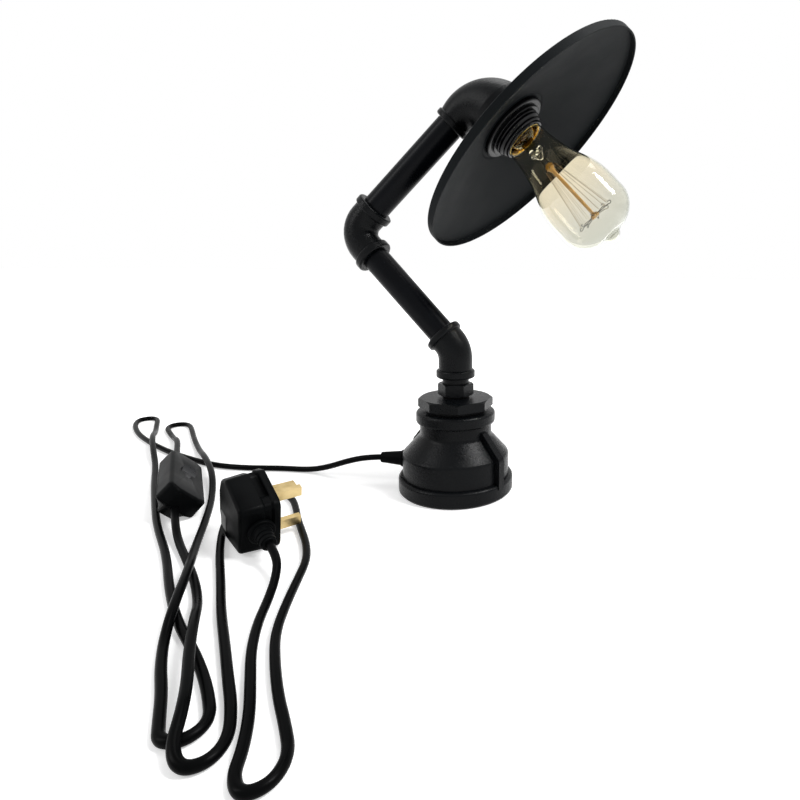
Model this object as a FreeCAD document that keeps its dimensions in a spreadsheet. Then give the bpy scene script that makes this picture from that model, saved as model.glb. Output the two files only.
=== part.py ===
import FreeCAD, Part
import math
import os
import Sketcher

# Industrial pipe table lamp: threaded malleable-iron fittings on a reducing-socket base, with a
# dished sheet shade, an E27 lampholder and bulb, an inline rocker switch and a fused 13 A plug.
# Millimetres. Origin: centre of the base's underside. +Z up, lower arm leaning to -X, head to +X.

V = FreeCAD.Vector
UP = V(0, 0, 1)
ORIGIN = V(0, 0, 0)
SHEET = "Sizes"

# Driving dimensions. Every name is an alias in the sheet.
DIMENSIONS = {
    # half-inch pipe and its threads
    "pipe_r": 10.65, "pipe_bore_r": 8.0, "thread_r": 10.40, "socket_r": 10.45, "thread_depth": 11.5,
    "thread_show": 0.8,
    # skeleton: elbow corners and leans
    "elbow_height": 114.4, "lower_length": 125.4, "upper_length": 145.9,
    "lower_lean": 45.0, "mid_turn": 6.6, "head_turn": 2.0, "right_turn": 90.0,
    # half-inch elbows
    "tube_r": 13.3, "bead_r": 15.2, "bead_width": 6.4, "edge_round": 1.6, "waterway_r": 8.6,
    "wide_bend_r": 20.0, "tight_bend_r": 16.0, "wide_reach": 22.8, "wide_reach_out": 16.2,
    "short_thread": 7.4, "slim_bead": 5.4,
    "tight_reach": 28.0,
    # reducing elbow of the head
    "small_drop": 27.5, "large_run": 17.0, "small_body_r": 12.75, "large_body_r": 22.2,
    "small_reach": 33.0, "large_reach": 34.0, "small_bead_r": 13.9,
    "large_bead_r": 27.0, "large_bead_width": 8.0, "holder_bore_r": 19.8, "holder_seat": 17.0,
    # base reducer
    "felt_thickness": 0.8, "felt_r": 44.6, "foot_r": 46.1, "foot_top": 12.75, "foot_round": 2.6,
    "foot_edge": 1.2,
    "drum_r": 42.5, "drum_top": 31.0, "neck_r": 28.5, "neck_start": 46.5, "collar_start": 55.6,
    "collar_r": 31.4, "base_top": 65.3, "collar_round": 2.4, "drum_bore_r": 38.0, "cone_bore_start": 26.0,
    "neck_bore_r": 24.0, "neck_bore_start": 42.0, "rib_width": 6.0, "rib_turn": -18.0,
    "plate_r": 37.8, "plate_thickness": 3.0,
    # octagonal bushing and hexagonal nipple
    "octagon_r": 29.74, "octagon_bottom": 68.5, "octagon_top": 75.8, "bushing_thread_r": 23.9,
    "bushing_bottom": 46.0, "hexagon_r": 14.15, "hexagon_bottom": 77.5, "hexagon_top": 87.0,
    "nipple_bottom": 62.0, "nipple_bore_r": 6.5,
    # cord gland and flex
    "gland_turn": 192.0, "gland_height": 22.0, "gland_r": 6.0, "gland_tip_r": 4.3, "gland_reach": 19.6,
    "gland_neck_r": 4.1, "gland_inner": 3.6, "flex_r": 2.4, "inner_flex_r": 2.4,
    # shade and its ring
    "plate_hole_r": 20.8, "shade_plate_r": 29.5, "shade_r": 98.3, "shade_drop": 54.9, "lip_length": 5.1,
    "sheet": 1.0, "ring_r": 26.7, "ring_width": 3.4, "ring_collar_r": 22.4, "ring_collar": 1.9,
    # lampholder
    "skirt_r": 19.75, "skirt_end": 43.5, "ridge_r": 18.0, "ridge_end": 47.0, "mouth_r": 16.75,
    "mouth_end": 49.5, "skirt_bore_r": 14.6, "shell_r": 13.3, "shell_wall": 0.6, "shell_end": 48.3,
    "cap_r": 16.5, "core_r": 14.5, "core_start": 9.5, "core_end": 13.0,
    # bulb
    "contact_end": 14.9, "cap_thread_r": 13.2, "cap_start": 19.5, "cap_end": 41.5, "glass_wall": 0.8,
    "bulb_r": 28.7, "bulb_tip": 149.9, "glass_neck_r": 12.5, "glass_low": 34.0, "neck_top": 46.5,
    "flare_r": 15.2, "flare_top": 50.5, "waist_r": 17.2, "waist_height": 67.0, "flank_r": 23.6,
    "flank_height": 89.0, "belly_low": 114.0, "belly_high": 125.0, "dome_r": 24.2, "dome_height": 139.0,
    "crown_r": 11.0, "crown_height": 145.6, "insulator_r": 10.25, "contact_top": 16.0,
    "stem_foot_r": 11.5, "stem_foot": 44.5, "stem_r": 1.6, "hub_near": 77.0, "hub_far": 125.5,
    "strand_r": 0.35, "hook_r": 0.3, "cage_near_r": 5.0, "cage_far_r": 12.0,
    # switch
    "switch_length": 86.0, "switch_width": 28.0, "switch_flank": 9.5, "switch_upper": 13.0,
    "switch_wall": 1.8, "switch_roof": 3.0, "rocker_length": 24.0, "rocker_width": 11.0, "rocker_gap": 0.4,
    "rocker_axis": 10.4, "flank_step": 0.6, "well_depth": 5.0, "shell_screw_r": 1.6, "axle_r": 1.3,
    "axle_reach": 1.7, "nose_bevel": 4.5, "rocker_depth": 6.0, "rocker_rise": 2.6,
    # plug
    "plug_depth": 24.0, "plug_half_width": 23.5, "plug_half_tail": 18.0, "plug_head": 21.0,
    "plug_tail": 25.0, "plug_shoulder": 6.0, "plug_inset": 2.4, "pin_gap": 11.1, "earth_gap": 22.2,
    "pin_width": 6.35, "pin_height": 4.0, "pin_length": 17.7, "earth_width": 4.0, "earth_height": 8.0,
    "earth_length": 22.7, "pin_root": 5.0, "plug_corner": 6.0, "relief_length": 15.0,
}

# Where the free pieces lie: a spot on the table, and the compass turn of the long axis from +X.
SWITCH_SPOT = V(-187, -96, 0)
SWITCH_TURN = -41.0
PLUG_SPOT = V(-83, -116, 0)
PLUG_TURN = -30.0

# Where the earth screw stands on the base plate, and how many strands the filament has.
EARTH_SPOT = V(22, 8, 0)
STRANDS = 8

doc = FreeCAD.newDocument("pipe_lamp")
nodes = {}


class Size:
    """A length or angle: its number, and the expression over the sheet that gives it."""

    def __init__(self, number, text):
        self.number = number
        self.text = text

    def join(self, sign, other, number):
        return Size(number, "(%s %s %s)" % (self.text, sign, other.text))

    def __add__(self, other):
        other = as_size(other)
        return self.join("+", other, self.number + other.number)

    def __sub__(self, other):
        other = as_size(other)
        return self.join("-", other, self.number - other.number)

    def __mul__(self, other):
        other = as_size(other)
        return self.join("*", other, self.number * other.number)

    def __truediv__(self, other):
        other = as_size(other)
        return self.join("/", other, self.number / other.number)

    def __radd__(self, other):
        return as_size(other) + self

    def __rsub__(self, other):
        return as_size(other) - self

    def __rmul__(self, other):
        return as_size(other) * self


def as_size(value):
    return value if isinstance(value, Size) else Size(float(value), "%.9g" % value)


def tangent(angle):
    """The tangent of an angle in degrees."""
    return Size(math.tan(math.radians(angle.number)), "tan(%s)" % angle.text)


def make_sheet():
    """Writes the driving dimensions to the sheet and returns them as sizes."""
    sheet = doc.addObject("Spreadsheet::Sheet", SHEET)
    sizes = {}
    for row, (name, value) in enumerate(DIMENSIONS.items(), start=1):
        sheet.set("A%d" % row, name)
        sheet.set("B%d" % row, "%.9g" % value)
        sheet.setAlias("B%d" % row, name)
        sizes[name] = Size(value, "%s.%s" % (SHEET, name))
    doc.recompute()
    return sizes


S = make_sheet()


def bind(thing, name, size):
    """Sets a property and ties it to the sheet."""
    size = as_size(size)
    setattr(thing, name, size.number)
    thing.setExpression(name, size.text)


# Places -------------------------------------------------------------------------------------------

def turned_about(vector, axis, degrees):
    return FreeCAD.Rotation(axis, degrees).multVec(vector)


def frame(origin, z_axis, x_axis=None):
    """A placement whose Z, and X when given, point along these directions."""
    if x_axis is None:
        return FreeCAD.Placement(origin, FreeCAD.Rotation(UP, z_axis))
    y_axis = z_axis.cross(x_axis)
    return FreeCAD.Placement(origin, FreeCAD.Rotation(x_axis, y_axis, z_axis, "ZXY"))


def shifted(z):
    """A placement raised along the lamp's own vertical axis."""
    return FreeCAD.Placement(V(0, 0, as_size(z).number), FreeCAD.Rotation())


LEAN = math.radians(S["lower_lean"].number)
LOWER_AXIS = V(-math.sin(LEAN), 0, math.cos(LEAN))
UPPER_AXIS = turned_about(V(math.cos(LEAN), 0, math.sin(LEAN)), LOWER_AXIS, S["mid_turn"].number)
HEAD_AXIS = turned_about(-LOWER_AXIS, UPPER_AXIS, S["head_turn"].number)
LOW_CORNER = V(0, 0, S["elbow_height"].number)
MID_CORNER = LOW_CORNER + LOWER_AXIS * S["lower_length"].number
HEAD_CORNER = MID_CORNER + UPPER_AXIS * S["upper_length"].number
HEAD_FRAME = frame(HEAD_CORNER, HEAD_AXIS, UPPER_AXIS)


# Building blocks ----------------------------------------------------------------------------------

def node(thing, name, placement=None):
    """Names a finished piece and puts it in its place."""
    thing.Label = name
    if placement is not None:
        thing.Placement = placement
    nodes[name] = thing
    return thing


def origin_part(body, role):
    return [part for part in body.Origin.OriginFeatures if part.Role == role][0]


def add_sketch(body, name, plane, offset=None):
    sketch = body.newObject("Sketcher::SketchObject", name)
    sketch.AttachmentSupport = [(origin_part(body, plane), "")]
    sketch.MapMode = "FlatFace"
    if offset is not None:
        sketch.AttachmentOffset = offset
    return sketch


def arc_between(start, end, radius):
    """The short arc from start to end. A positive radius turns left, a negative one right."""
    chord = end - start
    half = chord.Length / 2
    left = V(-chord.y, chord.x, 0).normalize()
    reach = math.sqrt(max(radius * radius - half * half, 0.0))
    centre = (start + end) * 0.5 + left * math.copysign(reach, radius)
    first, last = (start, end) if radius > 0 else (end, start)
    angles = [math.atan2(point.y - centre.y, point.x - centre.x) for point in (first, last)]
    circle = Part.Circle(centre, UP, abs(radius))
    return Part.ArcOfCircle(circle, angles[0], angles[1])


def pin_point(sketch, item, end, across, along):
    """Ties one corner of an outline to the sheet."""
    for kind, size, axis in (("DistanceX", across, -2), ("DistanceY", along, -1)):
        if abs(size.number) < 1e-9:
            sketch.addConstraint(Sketcher.Constraint("PointOnObject", item, end, axis))
            continue
        index = sketch.addConstraint(Sketcher.Constraint(kind, item, end, size.number))
        sketch.setExpression("Constraints[%d]" % index, size.text)


def draw_outline(sketch, corners):
    """A closed outline through corners (x, y), run with the material on its left. A third number
    is the radius of the arc that leads to that corner: positive for a bulge, negative for a hollow."""
    sizes = [(as_size(corner[0]), as_size(corner[1])) for corner in corners]
    points = [V(x.number, y.number, 0) for x, y in sizes]
    ends = []
    for index, point in enumerate(points):
        following = (index + 1) % len(points)
        if len(corners[following]) == 3:
            radius = as_size(corners[following][2])
            item = sketch.addGeometry(arc_between(point, points[following], radius.number), False)
            bend = Size(abs(radius.number), "abs(%s)" % radius.text)
            tie = sketch.addConstraint(Sketcher.Constraint("Radius", item, bend.number))
            sketch.setExpression("Constraints[%d]" % tie, bend.text)
            ends.append((item, 1, 2) if radius.number > 0 else (item, 2, 1))
        else:
            item = sketch.addGeometry(Part.LineSegment(point, points[following]), False)
            ends.append((item, 1, 2))
    for index, (item, start, end) in enumerate(ends):
        after = ends[(index + 1) % len(ends)]
        sketch.addConstraint(Sketcher.Constraint("Coincident", item, end, after[0], after[1]))
        pin_point(sketch, item, start, *sizes[index])


def turned(name, corners):
    """A body turned about its own Z axis from corners (radius, height)."""
    body = doc.addObject("PartDesign::Body", name)
    sketch = add_sketch(body, name + "_outline", "XZ_Plane")
    draw_outline(sketch, corners)
    turn = body.newObject("PartDesign::Revolution", name + "_turn")
    turn.Profile = sketch
    turn.ReferenceAxis = (sketch, ["V_Axis"])
    turn.Angle = 360
    sketch.Visibility = False
    return body


def padded(name, corners, height, taper=0.0):
    """A body padded up from an outline in its XY plane, its sides drafted by the taper."""
    body = doc.addObject("PartDesign::Body", name)
    sketch = add_sketch(body, name + "_outline", "XY_Plane")
    draw_outline(sketch, corners)
    pad = body.newObject("PartDesign::Pad", name + "_pad")
    pad.Profile = sketch
    bind(pad, "Length", height)
    bind(pad, "TaperAngle", taper)
    return body


def dressed(body, kind, name, size, wanted):
    """Rounds or bevels those edges of a body for which wanted(edge) is true."""
    doc.recompute()
    tip = body.Tip
    edges = ["Edge%d" % count for count, edge in enumerate(tip.Shape.Edges, start=1) if wanted(edge)]
    dress = body.newObject("PartDesign::" + kind, name)
    dress.Base = (tip, edges)
    bind(dress, "Radius" if kind == "Fillet" else "Size", size)
    return body


def primitive(kind, name, placement=None, **sizes):
    thing = doc.addObject("Part::" + kind, name)
    for key, size in sizes.items():
        bind(thing, key, size)
    if placement is not None:
        thing.Placement = placement
    return thing


def rod(name, radius, height, placement=None):
    return primitive("Cylinder", name, placement, Radius=radius, Height=height)


def block(name, length, width, height, placement=None):
    return primitive("Box", name, placement, Length=length, Width=width, Height=height)


def fused(name, shapes):
    thing = doc.addObject("Part::MultiFuse", name)
    thing.Shapes = shapes
    return thing


def cut(name, base, tool):
    thing = doc.addObject("Part::Cut", name)
    thing.Base = base
    thing.Tool = tool
    return thing


def common(name, shapes):
    thing = doc.addObject("Part::MultiCommon", name)
    thing.Shapes = shapes
    return thing


def group(name, shapes):
    """Separate solids kept together as one piece."""
    thing = doc.addObject("Part::Compound", name)
    thing.Links = shapes
    return thing


def tube(name, points, radius):
    """A round flex along straight runs joined by tangent arcs. Prints the arcs' radii."""
    edges = []
    radii = []
    here = points[0]
    for before, corner, after in zip(points, points[1:], points[2:]):
        arriving = (corner - before).normalize()
        leaving = (after - corner).normalize()
        half_turn = arriving.getAngle(leaving) / 2
        trim = 0.45 * min((corner - before).Length, (after - corner).Length)
        enter = corner - arriving * trim
        leave = corner + leaving * trim
        bend = trim / math.tan(half_turn)
        middle_way = (leaving - arriving).normalize()
        middle = corner + middle_way * (bend / math.cos(half_turn) - bend)
        edges.append(Part.LineSegment(here, enter).toShape())
        edges.append(Part.Arc(enter, middle, leave).toShape())
        radii.append(bend)
        here = leave
    edges.append(Part.LineSegment(here, points[-1]).toShape())
    path = Part.Wire(edges)
    circle = Part.Circle(points[0], (points[1] - points[0]).normalize(), radius.number)
    shape = path.makePipeShell([Part.Wire([circle.toShape()])], True, False)
    full = math.pi * radius.number ** 2 * path.Length
    print("%s: length %.0f, radii %s" % (name, path.Length, " ".join("%.0f" % bend for bend in radii)))
    assert abs(shape.Volume / full - 1) < 0.02, name
    thing = doc.addObject("Part::Feature", name)
    thing.Shape = shape
    return node(thing, name)


# Fittings -----------------------------------------------------------------------------------------

def socket_end(name, body_r, lip_r, lip, rounding, length):
    """The outside of one end of a fitting: a short tube that ends in a rounded bead."""
    return turned(name, [
        (0, 0), (body_r, 0), (body_r, length - lip), (lip_r - rounding, length - lip),
        (lip_r, length - lip + rounding, rounding), (lip_r, length - rounding),
        (lip_r - rounding, length, rounding), (0, length)])


def socket_core(name, bore_r, mouth_r, depth, length):
    """The hollow of one end of a fitting: a waterway that opens into a threaded mouth."""
    return turned(name, [
        (0, 0), (bore_r, 0), (bore_r, length - depth), (mouth_r, length - depth),
        (mouth_r, length + 1), (0, length + 1)])


def half_inch_elbow(name, turn, bend_r, mouths):
    """An elbow that takes the pipe in along +Y and lets it out turned towards -X. Each mouth has its
    distance from the corner, the width of its bead and the depth of its thread."""
    straight = bend_r * tangent(turn / 2)
    angle = math.radians(turn.number)
    out = V(-math.sin(angle), math.cos(angle), 0)
    centre = FreeCAD.Placement(V(-bend_r.number, -straight.number, 0), FreeCAD.Rotation())
    ends = [frame(V(0, -straight.number, 0), V(0, -1, 0)), frame(out * straight.number, out)]
    hulls = [primitive("Torus", name + "_bend", centre, Radius1=bend_r, Radius2=S["tube_r"], Angle3=turn)]
    cores = [primitive("Torus", name + "_way", centre, Radius1=bend_r, Radius2=S["waterway_r"], Angle3=turn)]
    for count, (place, (reach, bead, depth)) in enumerate(zip(ends, mouths)):
        hull = socket_end("%s_end%d" % (name, count), S["tube_r"], S["bead_r"], bead,
                          S["edge_round"], reach - straight)
        core = socket_core("%s_core%d" % (name, count), S["waterway_r"], S["socket_r"],
                           depth, reach - straight)
        hull.Placement = place
        core.Placement = place
        hulls.append(hull)
        cores.append(core)
    return cut(name, fused(name + "_hull", hulls), fused(name + "_hollow", cores))


def elbow_place(corner, arriving, leaving):
    """Puts an elbow's corner here, with the pipe arriving and leaving along these directions."""
    normal = leaving.cross(arriving).normalize() * -1
    side = arriving.cross(normal).normalize()
    return FreeCAD.Placement(corner, FreeCAD.Rotation(side, arriving, normal, "YXZ"))


def pipe(name, start_mouth, end_mouth, length):
    """A pipe along +Z with a narrower thread at each end, each screwed into its mouth."""
    gap = 1.0
    low = start_mouth[0] - start_mouth[2] + gap
    high = length - end_mouth[0] + end_mouth[2] - gap
    near = start_mouth[0] + S["thread_show"]
    far = length - end_mouth[0] - S["thread_show"]
    return turned(name, [
        (S["pipe_bore_r"], low), (S["thread_r"], low), (S["thread_r"], near), (S["pipe_r"], near),
        (S["pipe_r"], far), (S["thread_r"], far), (S["thread_r"], high), (S["pipe_bore_r"], high)])


def reducing_bend(name, small_r, large_r):
    """The bend of the head's reducing elbow. Round sections fan about one line in the crotch and
    swell from the half-inch end to the lampholder end."""
    steps = 3
    swell_power = 1.3
    crotch = V(S["large_run"].number, 0, -S["small_drop"].number)
    sections = []
    for step in range(steps + 1):
        share = step / steps
        swell = share ** swell_power
        reach = S["large_run"] + (S["small_drop"] - S["large_run"]) * swell
        turn = FreeCAD.Rotation(V(0, 1, 0), S["right_turn"].number * share)
        middle = crotch + turn.multVec(V(-1, 0, 0)) * reach.number
        section = primitive("Circle", "%s_section%d" % (name, step), FreeCAD.Placement(middle, turn),
                            Radius=small_r + (large_r - small_r) * swell)
        sections.append(section)
    loft = doc.addObject("Part::Loft", name + "_loft")
    loft.Sections = sections
    loft.Solid = True
    return loft


def head_elbow():
    """A reducing elbow: half-inch end towards -Z, lampholder end towards +X."""
    small = frame(V(0, 0, -S["small_drop"].number), V(0, 0, -1))
    large = frame(V(S["large_run"].number, 0, 0), V(1, 0, 0))
    small_length = S["small_reach"] - S["small_drop"]
    large_length = S["large_reach"] - S["large_run"]
    small_hull = socket_end("head_small_end", S["small_body_r"], S["small_bead_r"], small_length - 0.4,
                            S["edge_round"], small_length)
    large_hull = socket_end("head_large_end", S["large_body_r"], S["large_bead_r"], S["large_bead_width"],
                            S["edge_round"], large_length)
    small_hull.Placement = small
    large_hull.Placement = large
    small_core = rod("head_small_core", S["socket_r"], small_length + 1.0, small)
    large_core = rod("head_large_core", S["holder_bore_r"], large_length + 1.0, large)
    bend = reducing_bend("head_bend", S["small_body_r"], S["large_body_r"])
    way = reducing_bend("head_way", S["socket_r"], S["holder_bore_r"])
    hull = fused("head_hull", [bend, small_hull, large_hull])
    core = fused("head_hollow", [way, small_core, large_core])
    return cut("head_elbow", hull, core)


# Base ---------------------------------------------------------------------------------------------

def base_reducer():
    """The reducing socket that stands as the foot: beaded at both ends, with two cast ribs."""
    foot_round = S["foot_round"]
    collar_round = S["collar_round"]
    body = turned("base_reducer", [
        (S["drum_bore_r"], S["felt_thickness"]),
        (S["foot_r"] - S["foot_edge"], S["felt_thickness"]),
        (S["foot_r"], S["felt_thickness"] + S["foot_edge"], S["foot_edge"]),
        (S["foot_r"], S["foot_top"] - foot_round),
        (S["foot_r"] - foot_round, S["foot_top"], foot_round),
        (S["drum_r"], S["foot_top"]),
        (S["drum_r"], S["drum_top"] - 2.0),
        (S["drum_r"] - 1.6, S["drum_top"] + 1.4, 4.0),
        (S["neck_r"] + 1.4, S["neck_start"] - 1.9),
        (S["neck_r"], S["neck_start"] + 1.6, -5.0),
        (S["neck_r"], S["collar_start"]),
        (S["collar_r"] - collar_round, S["collar_start"]),
        (S["collar_r"], S["collar_start"] + collar_round, collar_round),
        (S["collar_r"], S["base_top"] - collar_round),
        (S["collar_r"] - collar_round, S["base_top"], collar_round),
        (S["neck_bore_r"], S["base_top"]),
        (S["neck_bore_r"], S["neck_bore_start"]),
        (S["drum_bore_r"], S["cone_bore_start"])])
    turn = FreeCAD.Placement(ORIGIN, FreeCAD.Rotation(V(0, 1, 0), S["rib_turn"].number))
    sketch = add_sketch(body, "base_rib_outline", "XZ_Plane", turn)
    draw_outline(sketch, [
        (S["drum_r"] - 1.5, S["foot_top"] - 3.5), (S["foot_r"] + 0.6, S["foot_top"] - 3.5),
        (S["foot_r"] + 0.6, S["drum_top"] + 0.0), (S["foot_r"] - 2.0, S["drum_top"] + 4.4, 6.0),
        (S["neck_r"] + 1.6, S["neck_start"] + 4.6), (S["neck_r"] - 1.5, S["neck_start"] + 4.6),
        (S["neck_r"] - 1.5, S["neck_start"] - 3.0), (S["drum_r"] - 1.5, S["drum_top"] - 4.5)])
    rib = body.newObject("PartDesign::Pad", "base_rib")
    rib.Profile = sketch
    rib.SideType = "Symmetric"
    bind(rib, "Length", S["rib_width"])
    pair = body.newObject("PartDesign::PolarPattern", "base_ribs")
    pair.Originals = [rib]
    pair.Axis = (origin_part(body, "Z_Axis"), [""])
    pair.Angle = 360
    pair.Occurrences = 2
    body.Tip = pair
    hole = rod("gland_hole", S["gland_neck_r"] + 0.1, 12.0, gland_place(-8.0))
    return cut("base_reducer", body, hole)


def gland_place(shift):
    """Where the flex leaves the drum, shifted outwards along its axis."""
    turn = math.radians(S["gland_turn"].number)
    out = V(math.cos(turn), math.sin(turn), 0)
    height = V(0, 0, S["gland_height"].number)
    return frame(height + out * (S["drum_r"].number + shift), out, V(out.y, -out.x, 0))


def gland_depth():
    """How far the gland starts inside the drum's surface."""
    return S["drum_r"] - S["drum_bore_r"] + S["gland_inner"]


def cord_gland():
    """A rubber strain relief: a barb inside the wall, a neck through it and a tapered tail."""
    barb_r = S["gland_neck_r"] + 0.8
    barb = 1.8
    surface = gland_depth()
    flange_r = S["gland_r"] + 0.9
    flange_back = surface + 0.2
    flange = 2.0
    tip = surface + S["gland_reach"]
    return turned("cord_gland", [
        (0, 0), (barb_r, 0), (barb_r, barb), (S["gland_neck_r"], barb),
        (S["gland_neck_r"], flange_back), (flange_r, flange_back), (flange_r, flange_back + flange),
        (S["gland_r"], flange_back + flange + 0.6), (S["gland_tip_r"], tip), (0, tip)])


def octagon_bushing():
    """A reducing bushing: an eight-sided head with bevelled corners over a long male thread."""
    head_height = S["octagon_top"] - S["octagon_bottom"]
    prism = primitive("Prism", "bushing_prism", shifted(S["octagon_bottom"]),
                      Circumradius=S["octagon_r"], Height=head_height)
    prism.Polygon = 8
    turn = FreeCAD.Rotation(UP, -62.9)
    prism.Placement = FreeCAD.Placement(V(0, 0, S["octagon_bottom"].number), turn)
    blank = turned("bushing_blank", [
        (0, S["octagon_bottom"]), (S["octagon_r"] - 0.4, S["octagon_bottom"]),
        (S["octagon_r"] + 0.4, S["octagon_bottom"] + 0.8), (S["octagon_r"] + 0.4, S["octagon_top"] - 1.4),
        (S["octagon_r"] - 2.2, S["octagon_top"]), (0, S["octagon_top"])])
    head = common("bushing_head", [prism, blank])
    thread = rod("bushing_thread", S["bushing_thread_r"], S["octagon_bottom"] - S["bushing_bottom"],
                 shifted(S["bushing_bottom"]))
    hole = turned("bushing_hole", [
        (0, S["bushing_bottom"] - 1), (S["bushing_thread_r"] - 4.5, S["bushing_bottom"] - 1),
        (S["bushing_thread_r"] - 4.5, S["bushing_bottom"] + 8), (S["socket_r"], S["bushing_bottom"] + 11),
        (S["socket_r"], S["octagon_top"] + 1), (0, S["octagon_top"] + 1)])
    return cut("octagon_bushing", fused("bushing_hull", [head, thread]), hole)


def hex_nipple():
    """A hexagonal nipple whose upper thread carries the first elbow."""
    prism = primitive("Prism", "nipple_prism", Circumradius=S["hexagon_r"],
                      Height=S["hexagon_top"] - S["hexagon_bottom"])
    prism.Polygon = 6
    prism.Placement = FreeCAD.Placement(V(0, 0, S["hexagon_bottom"].number), FreeCAD.Rotation(UP, 20.0))
    blank = turned("nipple_blank", [
        (0, S["hexagon_bottom"]), (S["hexagon_r"] - 1.2, S["hexagon_bottom"]),
        (S["hexagon_r"] + 0.2, S["hexagon_bottom"] + 1.0), (S["hexagon_r"] + 0.2, S["hexagon_top"] - 1.0),
        (S["hexagon_r"] - 1.2, S["hexagon_top"]), (0, S["hexagon_top"])])
    head = common("nipple_head", [prism, blank])
    top = S["elbow_height"] - S["wide_reach"] + S["thread_depth"] - 1.0
    thread = rod("nipple_thread", S["thread_r"], top - S["nipple_bottom"], shifted(S["nipple_bottom"]))
    hole = rod("nipple_hole", S["nipple_bore_r"], top - S["nipple_bottom"] + 2.0,
               shifted(S["nipple_bottom"] - 1.0))
    return cut("hex_nipple", fused("nipple_hull", [head, thread]), hole)


def earth_parts():
    """The earth screw on the base plate, and the ring tag under its head."""
    floor = S["felt_thickness"] + S["plate_thickness"]
    spot = EARTH_SPOT + UP * floor.number
    tag = 0.8
    tag_r = 4.5
    tail_length = 12.0
    tail_width = 4.0
    screw_r = 2.0
    head_r = 3.9
    crown_r = 2.6
    shank = 3.6
    rim = shank + 1.4
    head_top = rim + 1.2
    tag_hole = rod("tag_hole", screw_r + 0.1, 3.0, frame(spot - UP, UP))
    tag_ring = rod("tag_ring", tag_r, tag, frame(spot, UP))
    tail_corner = spot - V(tail_length + screw_r, tail_width / 2, 0)
    tag_tail = block("tag_tail", tail_length, tail_width, tag, frame(tail_corner, UP))
    node(cut("earth_tag", fused("tag_plate", [tag_ring, tag_tail]), tag_hole), "earth_tag")
    screw = turned("earth_screw", [
        (0, 0), (screw_r, 0), (screw_r, shank), (head_r, shank), (head_r, rim),
        (crown_r, head_top, 2.0), (0, head_top)])
    node(screw, "earth_screw", frame(spot + UP * (tag - shank), UP))


def build_base():
    felt = turned("felt_pad", [(0, 0), (S["felt_r"], 0), (S["felt_r"], S["felt_thickness"]),
                               (0, S["felt_thickness"])])
    node(felt, "felt_pad")
    plate = turned("base_plate_disc", [
        (0, 0), (S["plate_r"], 0), (S["plate_r"], S["plate_thickness"]), (0, S["plate_thickness"])])
    plate.Placement = shifted(S["felt_thickness"])
    screw_hole = rod("plate_hole", 2.05, 6.0, frame(EARTH_SPOT, UP))
    node(cut("base_plate", plate, screw_hole), "base_plate")
    node(base_reducer(), "base_reducer")
    node(cord_gland(), "cord_gland", gland_place(-gland_depth().number))
    node(octagon_bushing(), "octagon_bushing")
    node(hex_nipple(), "hex_nipple")
    earth_parts()


# Arms ---------------------------------------------------------------------------------------------

def build_arms():
    nipple_mouth = (S["wide_reach"], S["bead_width"], S["thread_depth"])
    short_mouth = (S["wide_reach_out"], S["slim_bead"], S["short_thread"])
    tight_mouth = (S["tight_reach"], S["bead_width"], S["thread_depth"])
    head_mouth = (S["small_reach"], S["bead_width"], S["thread_depth"])
    elbow = half_inch_elbow("lower_elbow", S["lower_lean"], S["wide_bend_r"], (nipple_mouth, short_mouth))
    node(elbow, "lower_elbow", elbow_place(LOW_CORNER, UP, LOWER_AXIS))
    lower = pipe("lower_pipe", short_mouth, tight_mouth, S["lower_length"])
    node(lower, "lower_pipe", frame(LOW_CORNER, LOWER_AXIS))
    elbow = half_inch_elbow("mid_elbow", S["right_turn"], S["tight_bend_r"], (tight_mouth, tight_mouth))
    node(elbow, "mid_elbow", elbow_place(MID_CORNER, LOWER_AXIS, UPPER_AXIS))
    upper = pipe("upper_pipe", tight_mouth, head_mouth, S["upper_length"])
    node(upper, "upper_pipe", frame(MID_CORNER, UPPER_AXIS))
    node(head_elbow(), "head_elbow", frame(HEAD_CORNER, UPPER_AXIS, HEAD_AXIS))


def inner_flex():
    """The flex inside the lamp, in one length per moving body. The lengths meet on the swivel axes."""
    out = gland_place(0).Rotation.multVec(UP)
    entry = gland_place(-gland_depth().number).Base
    swivel = LOW_CORNER - UP * S["wide_reach"].number
    mid_swivel = MID_CORNER - LOWER_AXIS * (S["tight_reach"].number - 4)
    head_swivel = HEAD_CORNER - UPPER_AXIS * (S["small_reach"].number - 4)
    tube("base_flex", [entry, V(0, 0, entry.z) + out * 6, V(0, 0, entry.z + 30), swivel], S["inner_flex_r"])
    tube("lower_flex", [swivel, LOW_CORNER, mid_swivel], S["inner_flex_r"])
    tube("upper_flex", [mid_swivel, MID_CORNER, head_swivel], S["inner_flex_r"])
    tube("head_flex", [head_swivel, HEAD_CORNER, HEAD_CORNER + HEAD_AXIS * 8.5], S["inner_flex_r"])


# Head ---------------------------------------------------------------------------------------------

def shade():
    """A shallow spun dish: a flat plate round the hole, a cone, and a short straight lip."""
    plate = S["large_reach"]
    rim = S["shade_drop"] + S["lip_length"]
    return turned("shade", [
        (S["plate_hole_r"], plate), (S["shade_plate_r"], plate), (S["shade_plate_r"] + 1.2, plate + 0.7),
        (S["shade_r"] - 0.6, S["shade_drop"] - 0.7), (S["shade_r"], S["shade_drop"], 1.0),
        (S["shade_r"], rim), (S["shade_r"] - S["sheet"], rim),
        (S["shade_r"] - S["sheet"], S["shade_drop"] + 0.5), (S["shade_plate_r"] + 0.9, plate + 1.75),
        (S["shade_plate_r"] - 0.3, plate + S["sheet"]), (S["plate_hole_r"], plate + S["sheet"])])


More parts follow.
